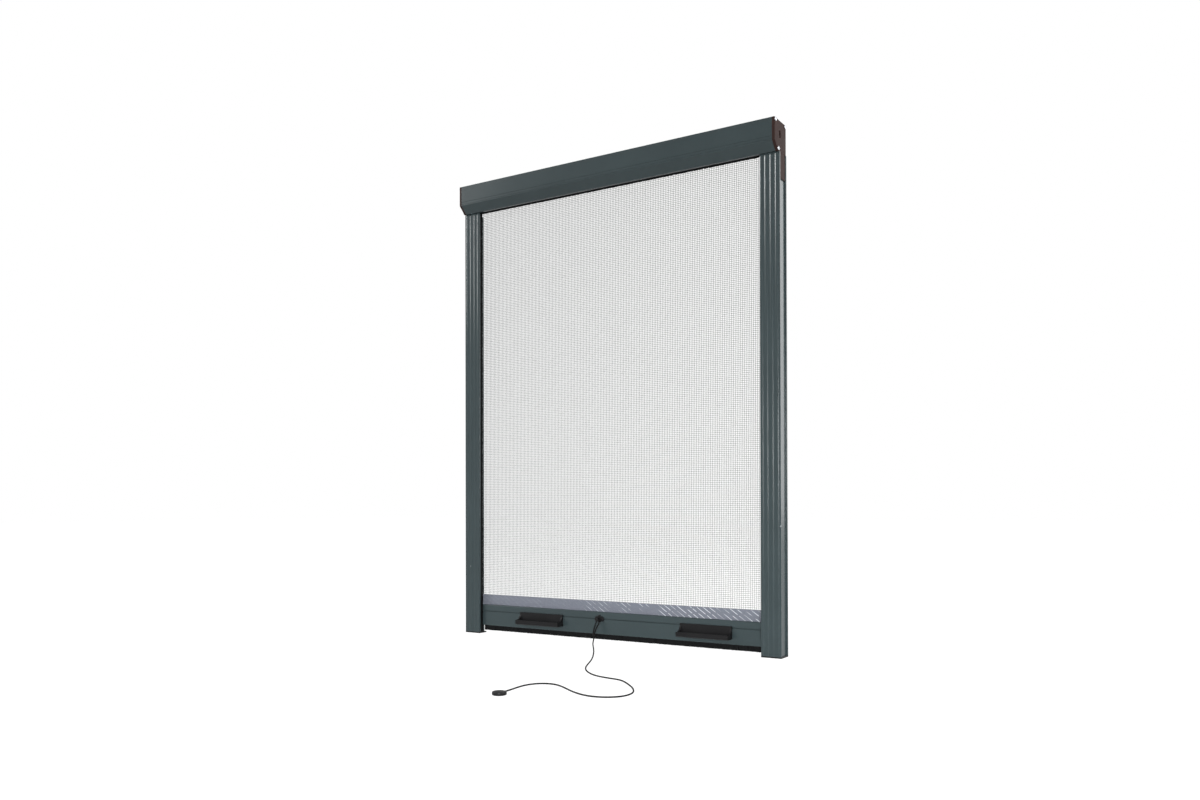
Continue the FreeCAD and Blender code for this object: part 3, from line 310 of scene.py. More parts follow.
MILL_ALUMINIUM = bare_metal("extruded aluminium, bare", "#aeb0b2", "#cfd1d3", (0.03, 1, 1), 0.0009, 0.35)
ZINC_STEEL = bare_metal("zinc-plated steel", "#b9bdc4", "#dcdfe3", (1, 1, 1), 0.0012, 0.3)

# %% [markdown]
# The insect net is fibreglass yarn in a PVC coat, woven and then welded where the threads cross. The cord
# is braided polyester, the hem is a woven tape welded to the net, and the brush pile is black polypropylene
# fibre. Each is a matt textile whose detail is too fine for one photograph, so the pattern is drawn as
# coarse as it needs to show.

# %% Textile finishes
def textile(name, dark, light, pitch, roughness, depth):
    """A textile whose fibre pattern repeats at about pitch metres."""
    tree = start(name)
    where = place_on(tree)
    fibre = add(tree, "ShaderNodeTexNoise", {"Vector": where, "Scale": 1 / pitch, "Detail": 2.0})
    colour = add(tree, "ShaderNodeMix", {0: fibre, 6: linear(dark), 7: linear(light)}, data_type="RGBA")
    bump = add(tree, "ShaderNodeBump", {"Height": fibre, "Strength": depth, "Distance": 0.0003})
    return finish(name, {"Roughness": roughness, "Specular IOR Level": 0.1}, bump,
                  colour.outputs["Result"])


NET_YARN = textile("PVC-coated fibreglass yarn, grey", "#6c6e6e", "#858787", 0.0015, 0.6, 0.1)
BRAID = textile("braided polyester, black", "#050505", "#101011", 0.0011, 0.75, 0.5)
PILE = textile("polypropylene pile, black", "#050506", "#101112", 0.0009, 0.8, 0.3)

# %% [markdown]
# The hem is the doubled lower end of the net with a grey woven tape between its layers. Thin bright strokes
# that slant down to the right, mostly in the right half, are painted highlights: glints of light on the tape,
# painted into its colour. They are coarser here, so that they stay clean in a render. The crests of a wave on
# turned coordinates are the strokes, a wave upwards breaks them into rows, and a soft noise and the distance
# to the right fade them in and out.

# %% Woven hem tape with painted glints
WEAVE = 1.1 * MM
GLINT_SLANT = -34.0
GLINT_SPACING = 6.4 * MM
GLINT_CREST = (0.86, 1.0)
ROW_HEIGHT = 11 * MM
ROW_STRAY = 16.0
GLINT_ROW_GAP = (-0.95, -0.5)
PATCH = 30 * MM
GLINT_PATCH_FADE = (0.4, 0.56)
GLINT_RIGHT_FADE = (-0.16, 0.1)
GLINT_LEFT_SHARE = 0.12
tree = start("woven polyester tape, grey, painted glints")
where = place_on(tree)
weave = add(tree, "ShaderNodeTexNoise", {"Vector": where, "Scale": 1 / WEAVE, "Detail": 2.0})
slant = add(tree, "ShaderNodeMapping", {"Vector": where, "Rotation": (0, math.radians(GLINT_SLANT), 0)})
ways = add(tree, "ShaderNodeSeparateXYZ", {"Vector": slant})
side = add(tree, "ShaderNodeSeparateXYZ", {"Vector": where})
patches = add(tree, "ShaderNodeTexNoise", {"Vector": where, "Scale": 1 / PATCH, "Detail": 1.0})
across = add(tree, "ShaderNodeMath", {0: ways.outputs["Z"], 1: math.tau / GLINT_SPACING},
             operation="MULTIPLY")
across = add(tree, "ShaderNodeMath", {0: across}, operation="SINE")
rows = add(tree, "ShaderNodeMath", {0: side.outputs["Z"], 1: math.tau / ROW_HEIGHT}, operation="MULTIPLY")
rows = add(tree, "ShaderNodeMath", {0: patches, 1: ROW_STRAY, 2: rows}, operation="MULTIPLY_ADD")
rows = add(tree, "ShaderNodeMath", {0: rows}, operation="SINE")
# painted highlights: the bright slanting glints on the tape are painted into its colour, fading towards the
# left
painted_glint = 1.0
for value, (low, high), least in ((across, GLINT_CREST, 0.0), (rows, GLINT_ROW_GAP, 0.0),
                                  (side.outputs["X"], GLINT_RIGHT_FADE, GLINT_LEFT_SHARE), (patches, GLINT_PATCH_FADE, 0.0)):
    share = add(tree, "ShaderNodeMapRange", {"Value": value, "From Min": low, "From Max": high,
                                             "To Min": least})
    painted_glint = add(tree, "ShaderNodeMath", {0: painted_glint, 1: share}, operation="MULTIPLY")
base = add(tree, "ShaderNodeMix", {0: weave, 6: linear("#474a53"), 7: linear("#70747d")}, data_type="RGBA")
# the tape's colour with its painted glints of light mixed in
colour = add(tree, "ShaderNodeMix", {0: painted_glint, 6: base.outputs["Result"], 7: linear("#c6c9cf")},
             data_type="RGBA")
bump = add(tree, "ShaderNodeBump", {"Height": weave, "Strength": 0.4, "Distance": 0.0003})
GLINT_PAINTED_TAPE = finish("woven polyester tape, grey, painted glints", {"Roughness": 0.62, "Specular IOR Level": 0.2}, bump,
              colour.outputs["Result"])

# %% [markdown]
# The CAD nodes whose shapes are right keep them, and only take their finish. A node's material slots are
# emptied and filled again, which changes no vertex.

# %% Give the CAD nodes their finish
FINISHES = {
    "cassette_box": POWDER, "guide_left": POWDER, "guide_right": POWDER, "bottom_bar": POWDER,
    "roller_tube": MILL_ALUMINIUM, "spring_shaft": ZINC_STEEL, "idle_pin": ZINC_STEEL,
    "torsion_spring": ZINC_STEEL, "cap_screws": ZINC_STEEL, "insect_net": NET_YARN, "net_roll": NET_YARN,
    "hem_strip": GLINT_PAINTED_TAPE, "cord_loop": BRAID, "pull_cord": BRAID,
}
PART_FINISHES = (("cap", CAP_PLASTIC), ("brush", PILE), ("spring_plug", INNER_PLASTIC),
                 ("idle_plug", INNER_PLASTIC), ("spring_anchor", INNER_PLASTIC), ("keder", INNER_PLASTIC))
for name, node in NODES.items():
    chosen = FINISHES.get(name)
    if chosen is None:
        chosen = next((m for word, m in PART_FINISHES if word in name), BLACK_PLASTIC)
    node.data.materials.clear()
    node.data.materials.append(chosen)
print(len(NODES), "CAD nodes have their finish")

# %% [markdown]
# The pull cord is a limp braided cord, 2 mm thick. Its doubled end is a loop through the eye of the clip in
# the bar's slot, a knot closes the loop, and from there one run drops to the floor and lies there in loose
# curves as far as its pull disc. A NURBS curve is how such a line is drawn: a few points steer it, and it
# rounds itself. The points are the route of the CAD solid, in millimetres.

# %% The pull cord and its loop
CORD_THICK = 2.0
CORD_ROUTE = [
    (-21, -15.5, 13.2), (-21, -15.5, 8), (-18.4, -22.5, 2.8), (-10, -36, 1.02), (6, -60, 1.02),
    (28, -94.5, 1.02), (50, -132, 1.02), (69.5, -168, 1.02), (85, -203, 1.02), (100, -234, 1.02),
    (119, -259, 1.02), (144, -279, 1.02), (168, -285.5, 1.02), (190, -288.5, 1.02), (213, -310, 1.02),
    (235, -335, 1.02), (249, -361, 1.02), (248, -386, 1.02), (231, -402, 1.02), (208, -404, 1.02),
    (181, -391, 1.02), (155, -371, 1.02), (134, -359, 1.02), (115, -364, 1.02), (106, -382, 1.02),
    (107, -404, 1.02), (111.5, -425, 1.5), (114, -441.5, 2.25),
]
LOOP_SIDE = [(1.05, -15.5, 17.15), (1.9, -12.3, 24.4), (3.0, -3.1, 33.6), (3.0, -2.5, 38.6)]
CLIP_X = -21


def cord_curve(name, points):
    """A cord as one open NURBS line with a round section."""
    curve = bpy.data.curves.new(name, "CURVE")
    curve.dimensions = "3D"
    spline = curve.splines.new("NURBS")
    spline.points.add(len(points) - 1)
    for point, place in zip(spline.points, points):
        point.co = (*(v * MM for v in place), 1)
    spline.order_u, spline.use_endpoint_u = 3, True
    curve.resolution_u, curve.bevel_depth = 8, CORD_THICK / 2 * MM
    curve.bevel_resolution, curve.use_fill_caps = 3, True
    curve.materials.append(BRAID)
    made = bpy.data.objects.new(name, curve)
    bpy.context.scene.collection.objects.link(made)
    print("cord", name, "has", len(points), "points and is", round(spline.calc_length() / MM, 1), "mm long")
    return made


pull_line = cord_curve("pull_line", CORD_ROUTE)
loop_points = [(CLIP_X - out, y, z) for out, y, z in LOOP_SIDE]
loop_points += [(CLIP_X + out, y, z) for out, y, z in LOOP_SIDE[::-1]]
clip_loop = cord_curve("clip_loop", loop_points)

# %% [markdown]
# A turned shape, such as the pull disc, is half of its outline spun round an axis. The outline is a short
# list of radius and height in millimetres. After the spin the doubles at the axis are merged and the
# normals are worked out again, because a spin can turn a shape inside out.

# %% A turned shape from its outline
def piece(name, mesh, material):
    """Puts a finished mesh into the scene as a piece."""
    mesh.materials.clear()
    mesh.materials.append(material)
    made = bpy.data.objects.new(name, mesh)
    bpy.context.scene.collection.objects.link(made)
    print("piece", name, "has", sum(len(p.vertices) - 2 for p in mesh.polygons), "triangles")
    return made


def settle(name, made, material, crease=None):
    """Makes a finished bmesh a piece, with sharp edges past the crease in degrees."""
    mesh = bpy.data.meshes.new(name)
    made.to_mesh(mesh)
    made.free()
    if crease:
        mesh.set_sharp_from_angle(angle=math.radians(crease))
    return piece(name, mesh, material)


def turned(name, outline, place, material, steps=48):
    """An outline of (radius, height) in millimetres, spun about the upright axis at place."""
    made = bmesh.new()
    line = [made.verts.new((r * MM, 0, h * MM)) for r, h in outline]
    edges = [made.edges.new(pair) for pair in zip(line, line[1:])]
    bmesh.ops.spin(made, geom=line + edges, axis=(0, 0, 1), cent=(0, 0, 0), angle=math.tau, steps=steps)
    bmesh.ops.remove_doubles(made, verts=made.verts, dist=1e-6)
    bmesh.ops.recalc_face_normals(made, faces=made.faces)
    for face in made.faces:
        face.smooth = True
    bmesh.ops.translate(made, verts=made.verts, vec=Vector(place) * MM)
    return settle(name, made, material, 35)


DISC_OUTLINE = [(0, 0), (7.6, 0), (8.6, 0.35), (9.0, 1.1), (9.0, 3.2), (8.75, 3.95), (8.2, 4.4), (7.5, 4.5),
                (7.0, 4.35), (6.7, 3.95), (6.3, 3.75), (2.6, 3.7), (1.6, 3.95), (0, 4.0)]
pull_disc = turned("pull_disc", DISC_OUTLINE, (115, -450.5, 0), BLACK_PLASTIC)
KNOT_OUTLINE = [(0, 0), (1.5, 0.1), (2.3, 0.9), (2.5, 2.2), (2.3, 3.5), (1.5, 4.3), (0, 4.4)]
knot = turned("loop_knot", KNOT_OUTLINE, (-21, -15.5, 13.2), BRAID, 24)

# %% [markdown]
# The clip that holds the cord in the bar's slot has two rounded wings beside its eye and a small tab above,
# which a thumb presses to turn it out. They are one flat moulding, so its outline is drawn as a polygon,
# pushed out to its thickness, and its front edges are rounded.

# %% The wings of the cord clip
WING_HALF = [(0, -3.0), (2.2, -2.8), (5.2, -4.2), (7.8, -3.2), (8.7, -0.6), (8.3, 2.2), (6.0, 4.0),
             (3.4, 3.4), (1.9, 3.6), (1.7, 6.2), (0, 6.5)]


def flat_moulding(name, half, middle, front, back, material, rounding):
    """A flat piece from half of an upright outline in millimetres, mirrored, between two Y planes."""
    outline = half + [(-x, z) for x, z in half[-2:0:-1]]
    made = bmesh.new()
    corners = [made.verts.new(((middle[0] + x) * MM, back * MM, (middle[1] + z) * MM)) for x, z in outline]
    pushed = bmesh.ops.extrude_face_region(made, geom=[made.faces.new(corners)])["geom"]
    moved = [item for item in pushed if isinstance(item, bmesh.types.BMVert)]
    bmesh.ops.translate(made, verts=moved, vec=(0, (front - back) * MM, 0))
    bmesh.ops.recalc_face_normals(made, faces=made.faces)
    rim = [edge for edge in made.edges if all(corner in moved for corner in edge.verts)]
    bmesh.ops.bevel(made, geom=rim, offset=rounding * MM, segments=3, profile=0.5, affect="EDGES")
    return settle(name, made, material)


wings = flat_moulding("clip_wings", WING_HALF, (CLIP_X, 39.6), 0.5, 3.0, BLACK_PLASTIC, 0.5)

# %% [markdown]
# Geometry Nodes make what repeats. A tree is built here in the script with named inputs for its sizes, it
# is run once on an empty mesh, and the result is kept as a plain mesh that needs no modifier. Every tree
# ends in Realize Instances, which turns copies into real faces, and Set Material.

# %% Run a Geometry Nodes tree once
SOCKETS = {float: "NodeSocketFloat", int: "NodeSocketInt", tuple: "NodeSocketVector"}


def begin(name, sizes):
    """A new tree with one named input for each size, and its input node."""
    tree = bpy.data.node_groups.new(name, "GeometryNodeTree")
    tree.interface.new_socket("Geometry", in_out="OUTPUT", socket_type="NodeSocketGeometry")
    for label, value in sizes.items():
        tree.interface.new_socket(label, in_out="INPUT", socket_type=SOCKETS[type(value)])
    return tree, add(tree, "NodeGroupInput").outputs


def end(tree, shape, material):
    """Ends a tree: real faces, one material, and the output."""
    real = add(tree, "GeometryNodeRealizeInstances", {"Geometry": shape})
    dressed = add(tree, "GeometryNodeSetMaterial", {"Geometry": real, "Material": material})
    add(tree, "NodeGroupOutput", {"Geometry": dressed})


def grow(name, tree, sizes, material, place=Matrix.Identity(4)):
    """Runs the tree with these sizes and keeps the result as a plain mesh at its place."""
    host = bpy.data.objects.new(name + ".host", bpy.data.meshes.new(name + ".host"))
    bpy.context.scene.collection.objects.link(host)
    modifier = host.modifiers.new("grow", "NODES")
    modifier.node_group = tree
    for item in tree.interface.items_tree:
        if item.item_type == "SOCKET" and item.in_out == "INPUT":
            modifier[item.identifier] = sizes[item.name]
    shown = host.evaluated_get(bpy.context.evaluated_depsgraph_get())
    mesh = bpy.data.meshes.new_from_object(shown)
    host.modifiers.clear()
    bpy.data.objects.remove(host)
    mesh.transform(place)
    return piece(name, mesh, material)

# %% [markdown]
# The net is a plain weave of fine yarn, about 1.5 mm from thread to thread. That is too fine to show here,
# and the photograph itself shows a coarser grid, so the threads are drawn 3 mm apart. The upright threads
# are one layer and the level threads lie on them, as in a welded net. Each layer is one bar of the
# thread's section, repeated along a line. The net hangs a hair behind the middle of its solid, so that it
# stays clear of its roll when the bar goes up.

# %% The insect net
NET_LOW, NET_HIGH = (Vector(corner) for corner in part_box("insect_net"))
NET_SHIFT = 0.12 * MM
NET_SIZES = {"Width": NET_HIGH.x - NET_LOW.x, "Height": NET_HIGH.z - NET_LOW.z,
             "Thread": 0.5 * MM, "Uprights": 190, "Levels": 238}


def net_tree(sizes, material):
    """Two layers of straight threads that touch."""
    tree, given = begin("woven net", sizes)
    layers = []
    for count, long_way, short_way, side in (("Uprights", "Height", "Width", -0.5),
                                             ("Levels", "Width", "Height", 0.5)):
        upright = long_way == "Height"
        half = add(tree, "ShaderNodeMath", {0: given[short_way], 1: given["Thread"]}, operation="SUBTRACT")
        half = add(tree, "ShaderNodeMath", {0: half, 1: 0.5}, operation="MULTIPLY")
        minus = add(tree, "ShaderNodeMath", {0: half, 1: -1.0}, operation="MULTIPLY")
        depth = add(tree, "ShaderNodeMath", {0: given["Thread"], 1: side}, operation="MULTIPLY")
        low = add(tree, "ShaderNodeCombineXYZ", {"X" if upright else "Z": minus, "Y": depth})
        high = add(tree, "ShaderNodeCombineXYZ", {"X" if upright else "Z": half, "Y": depth})
        line = add(tree, "GeometryNodeMeshLine", {"Start Location": low, "Offset": high,
                                                  "Count": given[count]}, mode="END_POINTS")
        size = add(tree, "ShaderNodeCombineXYZ", {
            "X": given["Thread"] if upright else given[long_way], "Y": given["Thread"],
            "Z": given[long_way] if upright else given["Thread"]})
        thread = add(tree, "GeometryNodeMeshCube", {"Size": size})
        layers.append(add(tree, "GeometryNodeInstanceOnPoints", {"Points": line, "Instance": thread}))
    both = add(tree, "GeometryNodeJoinGeometry")
    for layer in layers:
        tree.links.new(layer.outputs[0], both.inputs[0])
    end(tree, both, material)
    return tree


net = grow("woven_net", net_tree(NET_SIZES, NET_YARN), NET_SIZES, NET_YARN,
           Matrix.Translation((NET_LOW + NET_HIGH) / 2 + Vector((0, NET_SHIFT, 0))))

# %% [markdown]
# A brush seal is a strip with fine fibres woven through it, which keeps insects out of the gaps beside the
# net. The fibres are drawn as tufts in two staggered rows: each tuft is a thin three-sided cone that a seed
# leans and shortens a little, round a thin core that stands for the fibres deep in the pile. Six brushes
# come from one tree, and only their lengths, places and thickness differ. The one under the cassette leans
# down, and its tips show below the front as a black line. All widths but the pitch are shares of the pile's
# thickness or height.

# %% The brush seals
TUFT_PITCH = 0.85
TUFT_FOOT, TUFT_TIP, TUFT_ROW = 0.29, 0.2, 0.22
CORE_HEIGHT, CORE_THICK = 0.94, 0.3
TUFT_LEAN = (0.03, 0.4, 0.08)
TUFT_LENGTH = ((0.9, 0.96, 0.9), (1.05, 1.0, 1.05))
BRUSH_SIZES = {"Length": 0.75, "Count": 880, "Pile": 0.0108, "Thick": 0.0034,
               "Backing": (0.75, 0.0008, 0.0048), "Lean": 0.0, "Seed": 3}


def brush_tree(sizes, material):
    """Tufts along +X whose fibres point to +Y from a backing strip below them."""
    tree, given = begin("brush seal", sizes)
    half = add(tree, "ShaderNodeMath", {0: given["Length"], 1: 0.5}, operation="MULTIPLY")
    minus = add(tree, "ShaderNodeMath", {0: half, 1: -1.0}, operation="MULTIPLY")
    low = add(tree, "ShaderNodeCombineXYZ", {"X": minus})
    high = add(tree, "ShaderNodeCombineXYZ", {"X": half})
    line = add(tree, "GeometryNodeMeshLine", {"Start Location": low, "Offset": high,
                                              "Count": given["Count"]}, mode="END_POINTS")
    radius = add(tree, "ShaderNodeMath", {0: given["Thick"], 1: TUFT_FOOT}, operation="MULTIPLY")
    tip = add(tree, "ShaderNodeMath", {0: given["Thick"], 1: TUFT_TIP}, operation="MULTIPLY")
    tuft = add(tree, "GeometryNodeMeshCone", {"Vertices": 3, "Radius Bottom": radius, "Radius Top": tip,
                                              "Depth": given["Pile"]})
    turned_up = add(tree, "GeometryNodeTransform", {"Geometry": tuft, "Rotation": (-math.pi / 2, 0, 0)})
    tilt = add(tree, "ShaderNodeCombineXYZ", {"X": given["Lean"]})
    rows = []
    for row, side in enumerate((-TUFT_ROW, TUFT_ROW)):
        seed = add(tree, "ShaderNodeMath", {0: given["Seed"], 1: float(row)}, operation="ADD")
        lean = add(tree, "FunctionNodeRandomValue", {0: [-angle for angle in TUFT_LEAN], 1: TUFT_LEAN,
                                                     "Seed": seed}, data_type="FLOAT_VECTOR")
        length = add(tree, "FunctionNodeRandomValue", {0: TUFT_LENGTH[0], 1: TUFT_LENGTH[1],
                                                       "Seed": seed}, data_type="FLOAT_VECTOR")
        lean = add(tree, "ShaderNodeVectorMath", {0: lean.outputs[0], 1: tilt}, operation="ADD")
        off = add(tree, "ShaderNodeMath", {0: given["Thick"], 1: side}, operation="MULTIPLY")
        move = add(tree, "ShaderNodeCombineXYZ", {"X": row * TUFT_PITCH / 2 * MM, "Z": off})
        moved = add(tree, "GeometryNodeSetPosition", {"Geometry": line, "Offset": move})
        rows.append(add(tree, "GeometryNodeInstanceOnPoints", {
            "Points": moved, "Instance": turned_up, "Rotation": lean.outputs[0], "Scale": length.outputs[0]}))
    strip = add(tree, "GeometryNodeMeshCube", {"Size": given["Backing"]})
    parts = add(tree, "ShaderNodeSeparateXYZ", {"Vector": given["Backing"]})
    lift = add(tree, "ShaderNodeMath", {0: parts.outputs["Y"], 1: 0.5}, operation="MULTIPLY")
    raised = add(tree, "ShaderNodeCombineXYZ", {"Y": lift})
    strip = add(tree, "GeometryNodeTransform", {"Geometry": strip, "Translation": raised})
    core_high = add(tree, "ShaderNodeMath", {0: given["Pile"], 1: CORE_HEIGHT}, operation="MULTIPLY")
    core_thick = add(tree, "ShaderNodeMath", {0: given["Thick"], 1: CORE_THICK}, operation="MULTIPLY")
    core_size = add(tree, "ShaderNodeCombineXYZ", {"X": given["Length"], "Y": core_high, "Z": core_thick})
    core = add(tree, "GeometryNodeMeshCube", {"Size": core_size})
    core_lift = add(tree, "ShaderNodeMath", {0: core_high, 1: 0.5}, operation="MULTIPLY")
    core = add(tree, "GeometryNodeTransform", {
        "Geometry": core, "Translation": add(tree, "ShaderNodeCombineXYZ", {"Y": core_lift})})
    core = add(tree, "GeometryNodeTransform", {"Geometry": core, "Rotation": tilt})
    both = add(tree, "GeometryNodeJoinGeometry")
    for shape in rows + [strip, core]:
        tree.links.new(shape.outputs[0], both.inputs[0])
    end(tree, both, material)
    return tree


BRUSH_TREE = brush_tree(BRUSH_SIZES, PILE)
BRUSHES = {
    "guide_brush_front_left": ((0, 0, 1), (0, 1, 0), 6.2),
    "guide_brush_front_right": ((0, 0, 1), (0, 1, 0), 6.2),
    "guide_brush_rear_left": ((0, 0, 1), (0, -1, 0), 4.6),
    "guide_brush_rear_right": ((0, 0, 1), (0, -1, 0), 4.6),
    "cassette_brush": ((1, 0, 0), (0, 1, 0), 4.6, -0.2),
    "bar_brush": ((1, 0, 0), (0, 0, -1), 3.4),
}


def brush(node, seed, along, out, thick, lean=0.0):
    """The sizes and the place of a brush that fills the box of its CAD node."""
    low, high = (Vector(corner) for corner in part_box(node))
    along, out = Vector(along), Vector(out)
    size, middle = high - low, (low + high) / 2
    across = along.cross(out)
    length, reach, wide = (abs(size.dot(way)) for way in (along, out, across))
    sizes = {"Length": length - 2 * MM, "Count": int(length / (TUFT_PITCH * MM)), "Pile": reach - 0.1 * MM,
             "Thick": thick * MM, "Backing": (length, 0.8 * MM, wide), "Lean": lean, "Seed": seed}
    turn = Matrix((along, out, across)).transposed().to_4x4()
    return sizes, Matrix.Translation(middle - out * reach / 2) @ turn


seals = {}
for seed, (node, way) in enumerate(BRUSHES.items()):
    sizes, place = brush(node, 10 * seed, *way)
    seals[node] = grow(node.replace("brush", "seal"), BRUSH_TREE, sizes, PILE, place)

# %% [markdown]
# The hem tape joins the net to the bar. It is a flat strip a little under a millimetre thick whose lower
# edge goes into the slot of the bar. It stays flat because the net pulls it, so a thin grid with a fine
# ripple along its upper edge is enough.

# %% The hem tape
RIPPLE_WAVES = (190, 57)


def ribbon(name, low, high, columns, rows, ripple, material):
    """A closed thin strip between two corners whose faces wave a little in Y."""
    made = bmesh.new()
    grids = []
    for y in (low.y, high.y):
        grid = []
        for row in range(rows + 1):
            z = low.z + (high.z - low.z) * row / rows
            line = []
            for column in range(columns + 1):
                x = low.x + (high.x - low.x) * column / columns
                wave = ripple * math.sin(x * RIPPLE_WAVES[0]) * math.sin(x * RIPPLE_WAVES[1] + 1) * row / rows
                line.append(made.verts.new((x, y + wave, z)))
            grid.append(line)
        grids.append(grid)
    front, back = grids
    for row in range(rows):
        for column in range(columns):
            for grid in grids:
                made.faces.new((grid[row][column], grid[row][column + 1], grid[row + 1][column + 1],
                                grid[row + 1][column]))
    edge_front = front[0] + [line[-1] for line in front[1:]] + front[-1][-2::-1]
    edge_back = back[0] + [line[-1] for line in back[1:]] + back[-1][-2::-1]
    edge_front += [line[0] for line in front[-2:0:-1]]
    edge_back += [line[0] for line in back[-2:0:-1]]
    for place, corner in enumerate(edge_front):
        after = (place + 1) % len(edge_front)
        made.faces.new((corner, edge_front[after], edge_back[after], edge_back[place]))
    bmesh.ops.recalc_face_normals(made, faces=made.faces)
    return settle(name, made, material)


HEM_LOW, HEM_HIGH = (Vector(corner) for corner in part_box("hem_strip"))
hem = ribbon("hem_tape", HEM_LOW, HEM_HIGH, 240, 6, 0.15 * MM, GLINT_PAINTED_TAPE)

# %% [markdown]
# Inside the cassette, the rest of the net is wound on the roller tube, three and a quarter turns at rest. It
# is one long strip that follows a spiral, so its section is drawn along the spiral and carried from one
# end of the tube to the other.

# %% The net on its roller
ROLL_LOW, ROLL_HIGH = (Vector(corner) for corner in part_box("net_roll"))
ROLL_OUTER = (ROLL_HIGH.z - ROLL_LOW.z) / 2
ROLL_INNER = 10.05 * MM
ROLL_THICK = 0.25 * MM
ROLL_TURNS, ROLL_STEPS = 3.25, 48


def roll_of_net(name, material):
    """The net's turns as a closed spiral strip along X."""
    made = bmesh.new()
    middle = (ROLL_LOW + ROLL_HIGH) / 2
    sides = []
    count = int(ROLL_TURNS * ROLL_STEPS)
    for step in range(count + 1):
        angle = math.tau * step / ROLL_STEPS
        inner = ROLL_INNER + (ROLL_OUTER - ROLL_THICK - ROLL_INNER) * step / count
        ring = []
        for radius, x in ((inner, ROLL_LOW.x), (inner, ROLL_HIGH.x),
                          (inner + ROLL_THICK, ROLL_HIGH.x), (inner + ROLL_THICK, ROLL_LOW.x)):
            ring.append(made.verts.new((x, middle.y + radius * math.sin(angle),
                                        middle.z + radius * math.cos(angle))))
        sides.append(ring)
    for ring, after in zip(sides, sides[1:]):
        for k in range(4):
            made.faces.new((ring[k], ring[(k + 1) % 4], after[(k + 1) % 4], after[k]))
    made.faces.new(sides[0])
    made.faces.new(sides[-1])
    bmesh.ops.recalc_face_normals(made, faces=made.faces)
    return settle(name, made, material)


net_turns = roll_of_net("net_turns", NET_YARN)

# %% [markdown]
# The end caps are held by zinc-plated screws whose heads stand in the corners of the caps. A pan head has a
# flat seat, a domed top and a cross recess. In the tree, a low cylinder, a flattened ball and the shank are
# joined, and two small bars are cut out of them. The screw is then copied to the six places, and each copy
# is turned by its own angle, as screws are left by the driver.

# %% The cap screws
SCREW_PLACES = ((-19.3, 796.8), (19.3, 796.8), (-8.3, 757.1))
SCREW_SEAT_X = 298.4
SCREW_TWIST = 1.7
DOME_FIT = 0.995
SHANK_SINK = 0.2 * MM
SCREW_SIZES = {"Head Radius": 2.8 * MM, "Head Height": 1.6 * MM, "Shank Radius": 1.2 * MM,
               "Shank Length": 7.0 * MM, "Recess Width": 0.9 * MM, "Recess Length": 3.6 * MM}


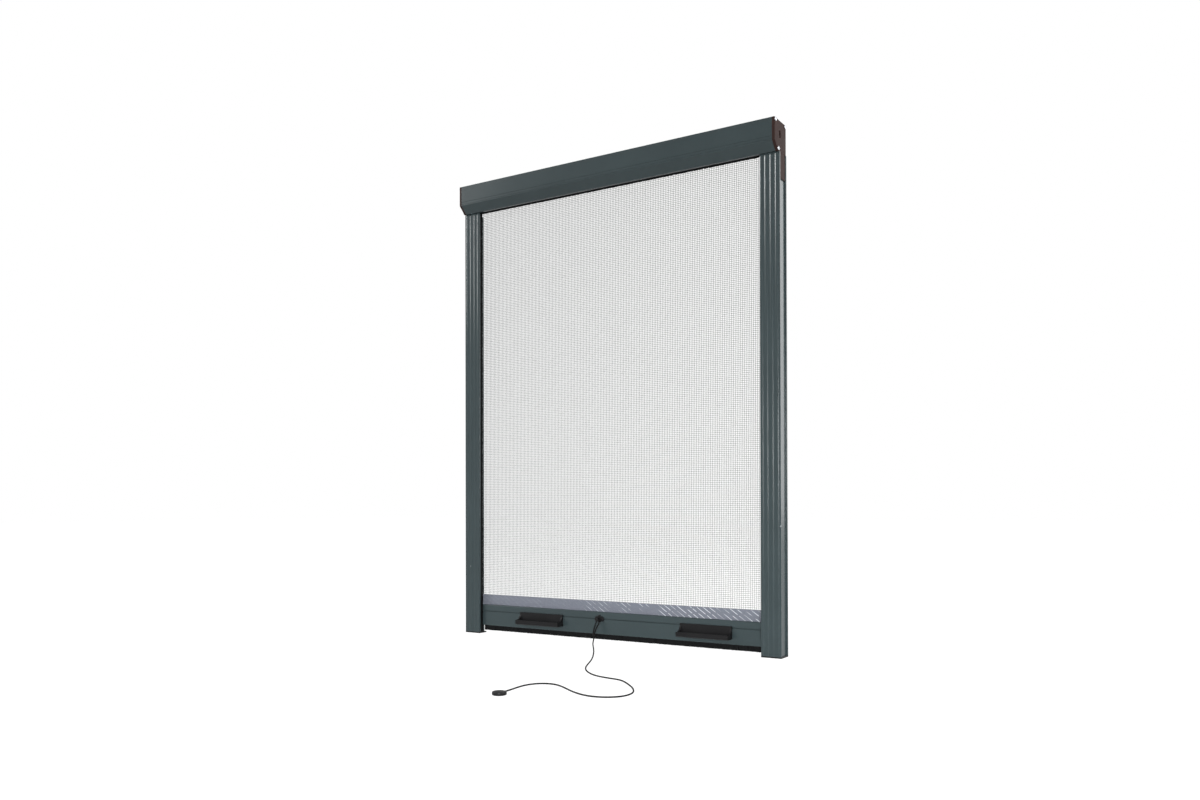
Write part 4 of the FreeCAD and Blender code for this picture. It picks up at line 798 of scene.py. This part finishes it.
def screw_tree(sizes, material):
    """A pan-head screw along +Z with its seat at zero and a cross recess in its top."""
    tree, given = begin("pan-head screw", sizes)
    rim = add(tree, "ShaderNodeMath", {0: given["Head Height"], 1: 0.5}, operation="MULTIPLY")
    rim_up = add(tree, "ShaderNodeCombineXYZ", {"Z": rim})
    disc = add(tree, "GeometryNodeMeshCylinder", {"Vertices": 28, "Radius": given["Head Radius"],
                                                  "Depth": rim})
    half_rim = add(tree, "ShaderNodeMath", {0: rim, 1: 0.5}, operation="MULTIPLY")
    disc = add(tree, "GeometryNodeTransform", {
        "Geometry": disc, "Translation": add(tree, "ShaderNodeCombineXYZ", {"Z": half_rim})})
    ball = add(tree, "GeometryNodeMeshUVSphere", {"Segments": 28, "Rings": 12,
                                                  "Radius": given["Head Radius"]})
    squash = add(tree, "ShaderNodeMath", {0: rim, 1: given["Head Radius"]}, operation="DIVIDE")
    flat = add(tree, "ShaderNodeCombineXYZ", {"X": DOME_FIT, "Y": DOME_FIT, "Z": squash})
    ball = add(tree, "GeometryNodeTransform", {"Geometry": ball, "Translation": rim_up, "Scale": flat})
    shank_low = add(tree, "ShaderNodeMath", {0: given["Shank Length"], 1: -0.5}, operation="MULTIPLY")
    shank_low = add(tree, "ShaderNodeMath", {0: shank_low, 1: SHANK_SINK}, operation="ADD")
    shank = add(tree, "GeometryNodeMeshCylinder", {"Vertices": 16, "Radius": given["Shank Radius"],
                                                   "Depth": given["Shank Length"]})
    shank = add(tree, "GeometryNodeTransform", {
        "Geometry": shank, "Translation": add(tree, "ShaderNodeCombineXYZ", {"Z": shank_low})})
    solid = add(tree, "GeometryNodeMeshBoolean", operation="UNION", solver="EXACT")
    for shape in (disc, ball, shank):
        tree.links.new(shape.outputs[0], solid.inputs["Mesh 2"])
    cut = add(tree, "GeometryNodeMeshBoolean", {"Mesh 1": solid}, operation="DIFFERENCE", solver="EXACT")
    for long_way in ("X", "Y"):
        other = "Y" if long_way == "X" else "X"
        size = add(tree, "ShaderNodeCombineXYZ", {long_way: given["Recess Length"],
                                                  other: given["Recess Width"], "Z": rim})
        bar = add(tree, "GeometryNodeMeshCube", {"Size": size})
        top = add(tree, "ShaderNodeCombineXYZ", {"Z": given["Head Height"]})
        bar = add(tree, "GeometryNodeTransform", {"Geometry": bar, "Translation": top})
        tree.links.new(bar.outputs[0], cut.inputs["Mesh 2"])
    end(tree, cut, material)
    return tree


SCREW_TREE = screw_tree(SCREW_SIZES, ZINC_STEEL)
one_screw = grow("one_screw", SCREW_TREE, SCREW_SIZES, ZINC_STEEL)
heads = bmesh.new()
for side in (-1, 1):
    for y, z in SCREW_PLACES:
        copied = one_screw.data.copy()
        turn = Matrix.Rotation(side * math.pi / 2, 4, "Y")
        twist = Matrix.Rotation(y * SCREW_TWIST + z + side, 4, "Z")
        copied.transform(Matrix.Translation(Vector((side * SCREW_SEAT_X, y, z)) * MM) @ turn @ twist)
        heads.from_mesh(copied)
        bpy.data.meshes.remove(copied)
bpy.data.objects.remove(one_screw)
screws = settle("cap_screw_heads", heads, ZINC_STEEL)

# %% [markdown]
# Every row gives a piece, the CAD body that carries it, the finish slot of the record for it and the CAD
# nodes it stands for. The piece is parented to its body, and those nodes are hidden.

# %% Bodies, replaced nodes and the listed finish slots
RIDES = (
    (net, "frame", "net", ("insect_net",)), (hem, "bar", "tape", ("hem_strip",)),
    (net_turns, "roller", "net", ("net_roll",)), (screws, "frame", "steel", ("cap_screws",)),
    (pull_line, "bar", "cord", ("pull_cord",)), (clip_loop, "bar", "cord", ("cord_loop",)),
    (knot, "bar", "cord", ()), (pull_disc, "bar", "black_plastic", ("cord_pull",)),
    (wings, "bar", "black_plastic", ()),
)
for made, body, finish_slot, nodes in RIDES:
    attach(made, body)
    if nodes:
        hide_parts(*nodes)
for node, made in seals.items():
    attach(made, "bar" if node == "bar_brush" else "frame")
    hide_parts(node)

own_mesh(net)
print(len(RIDES) + len(seals), "pieces ride on their bodies")
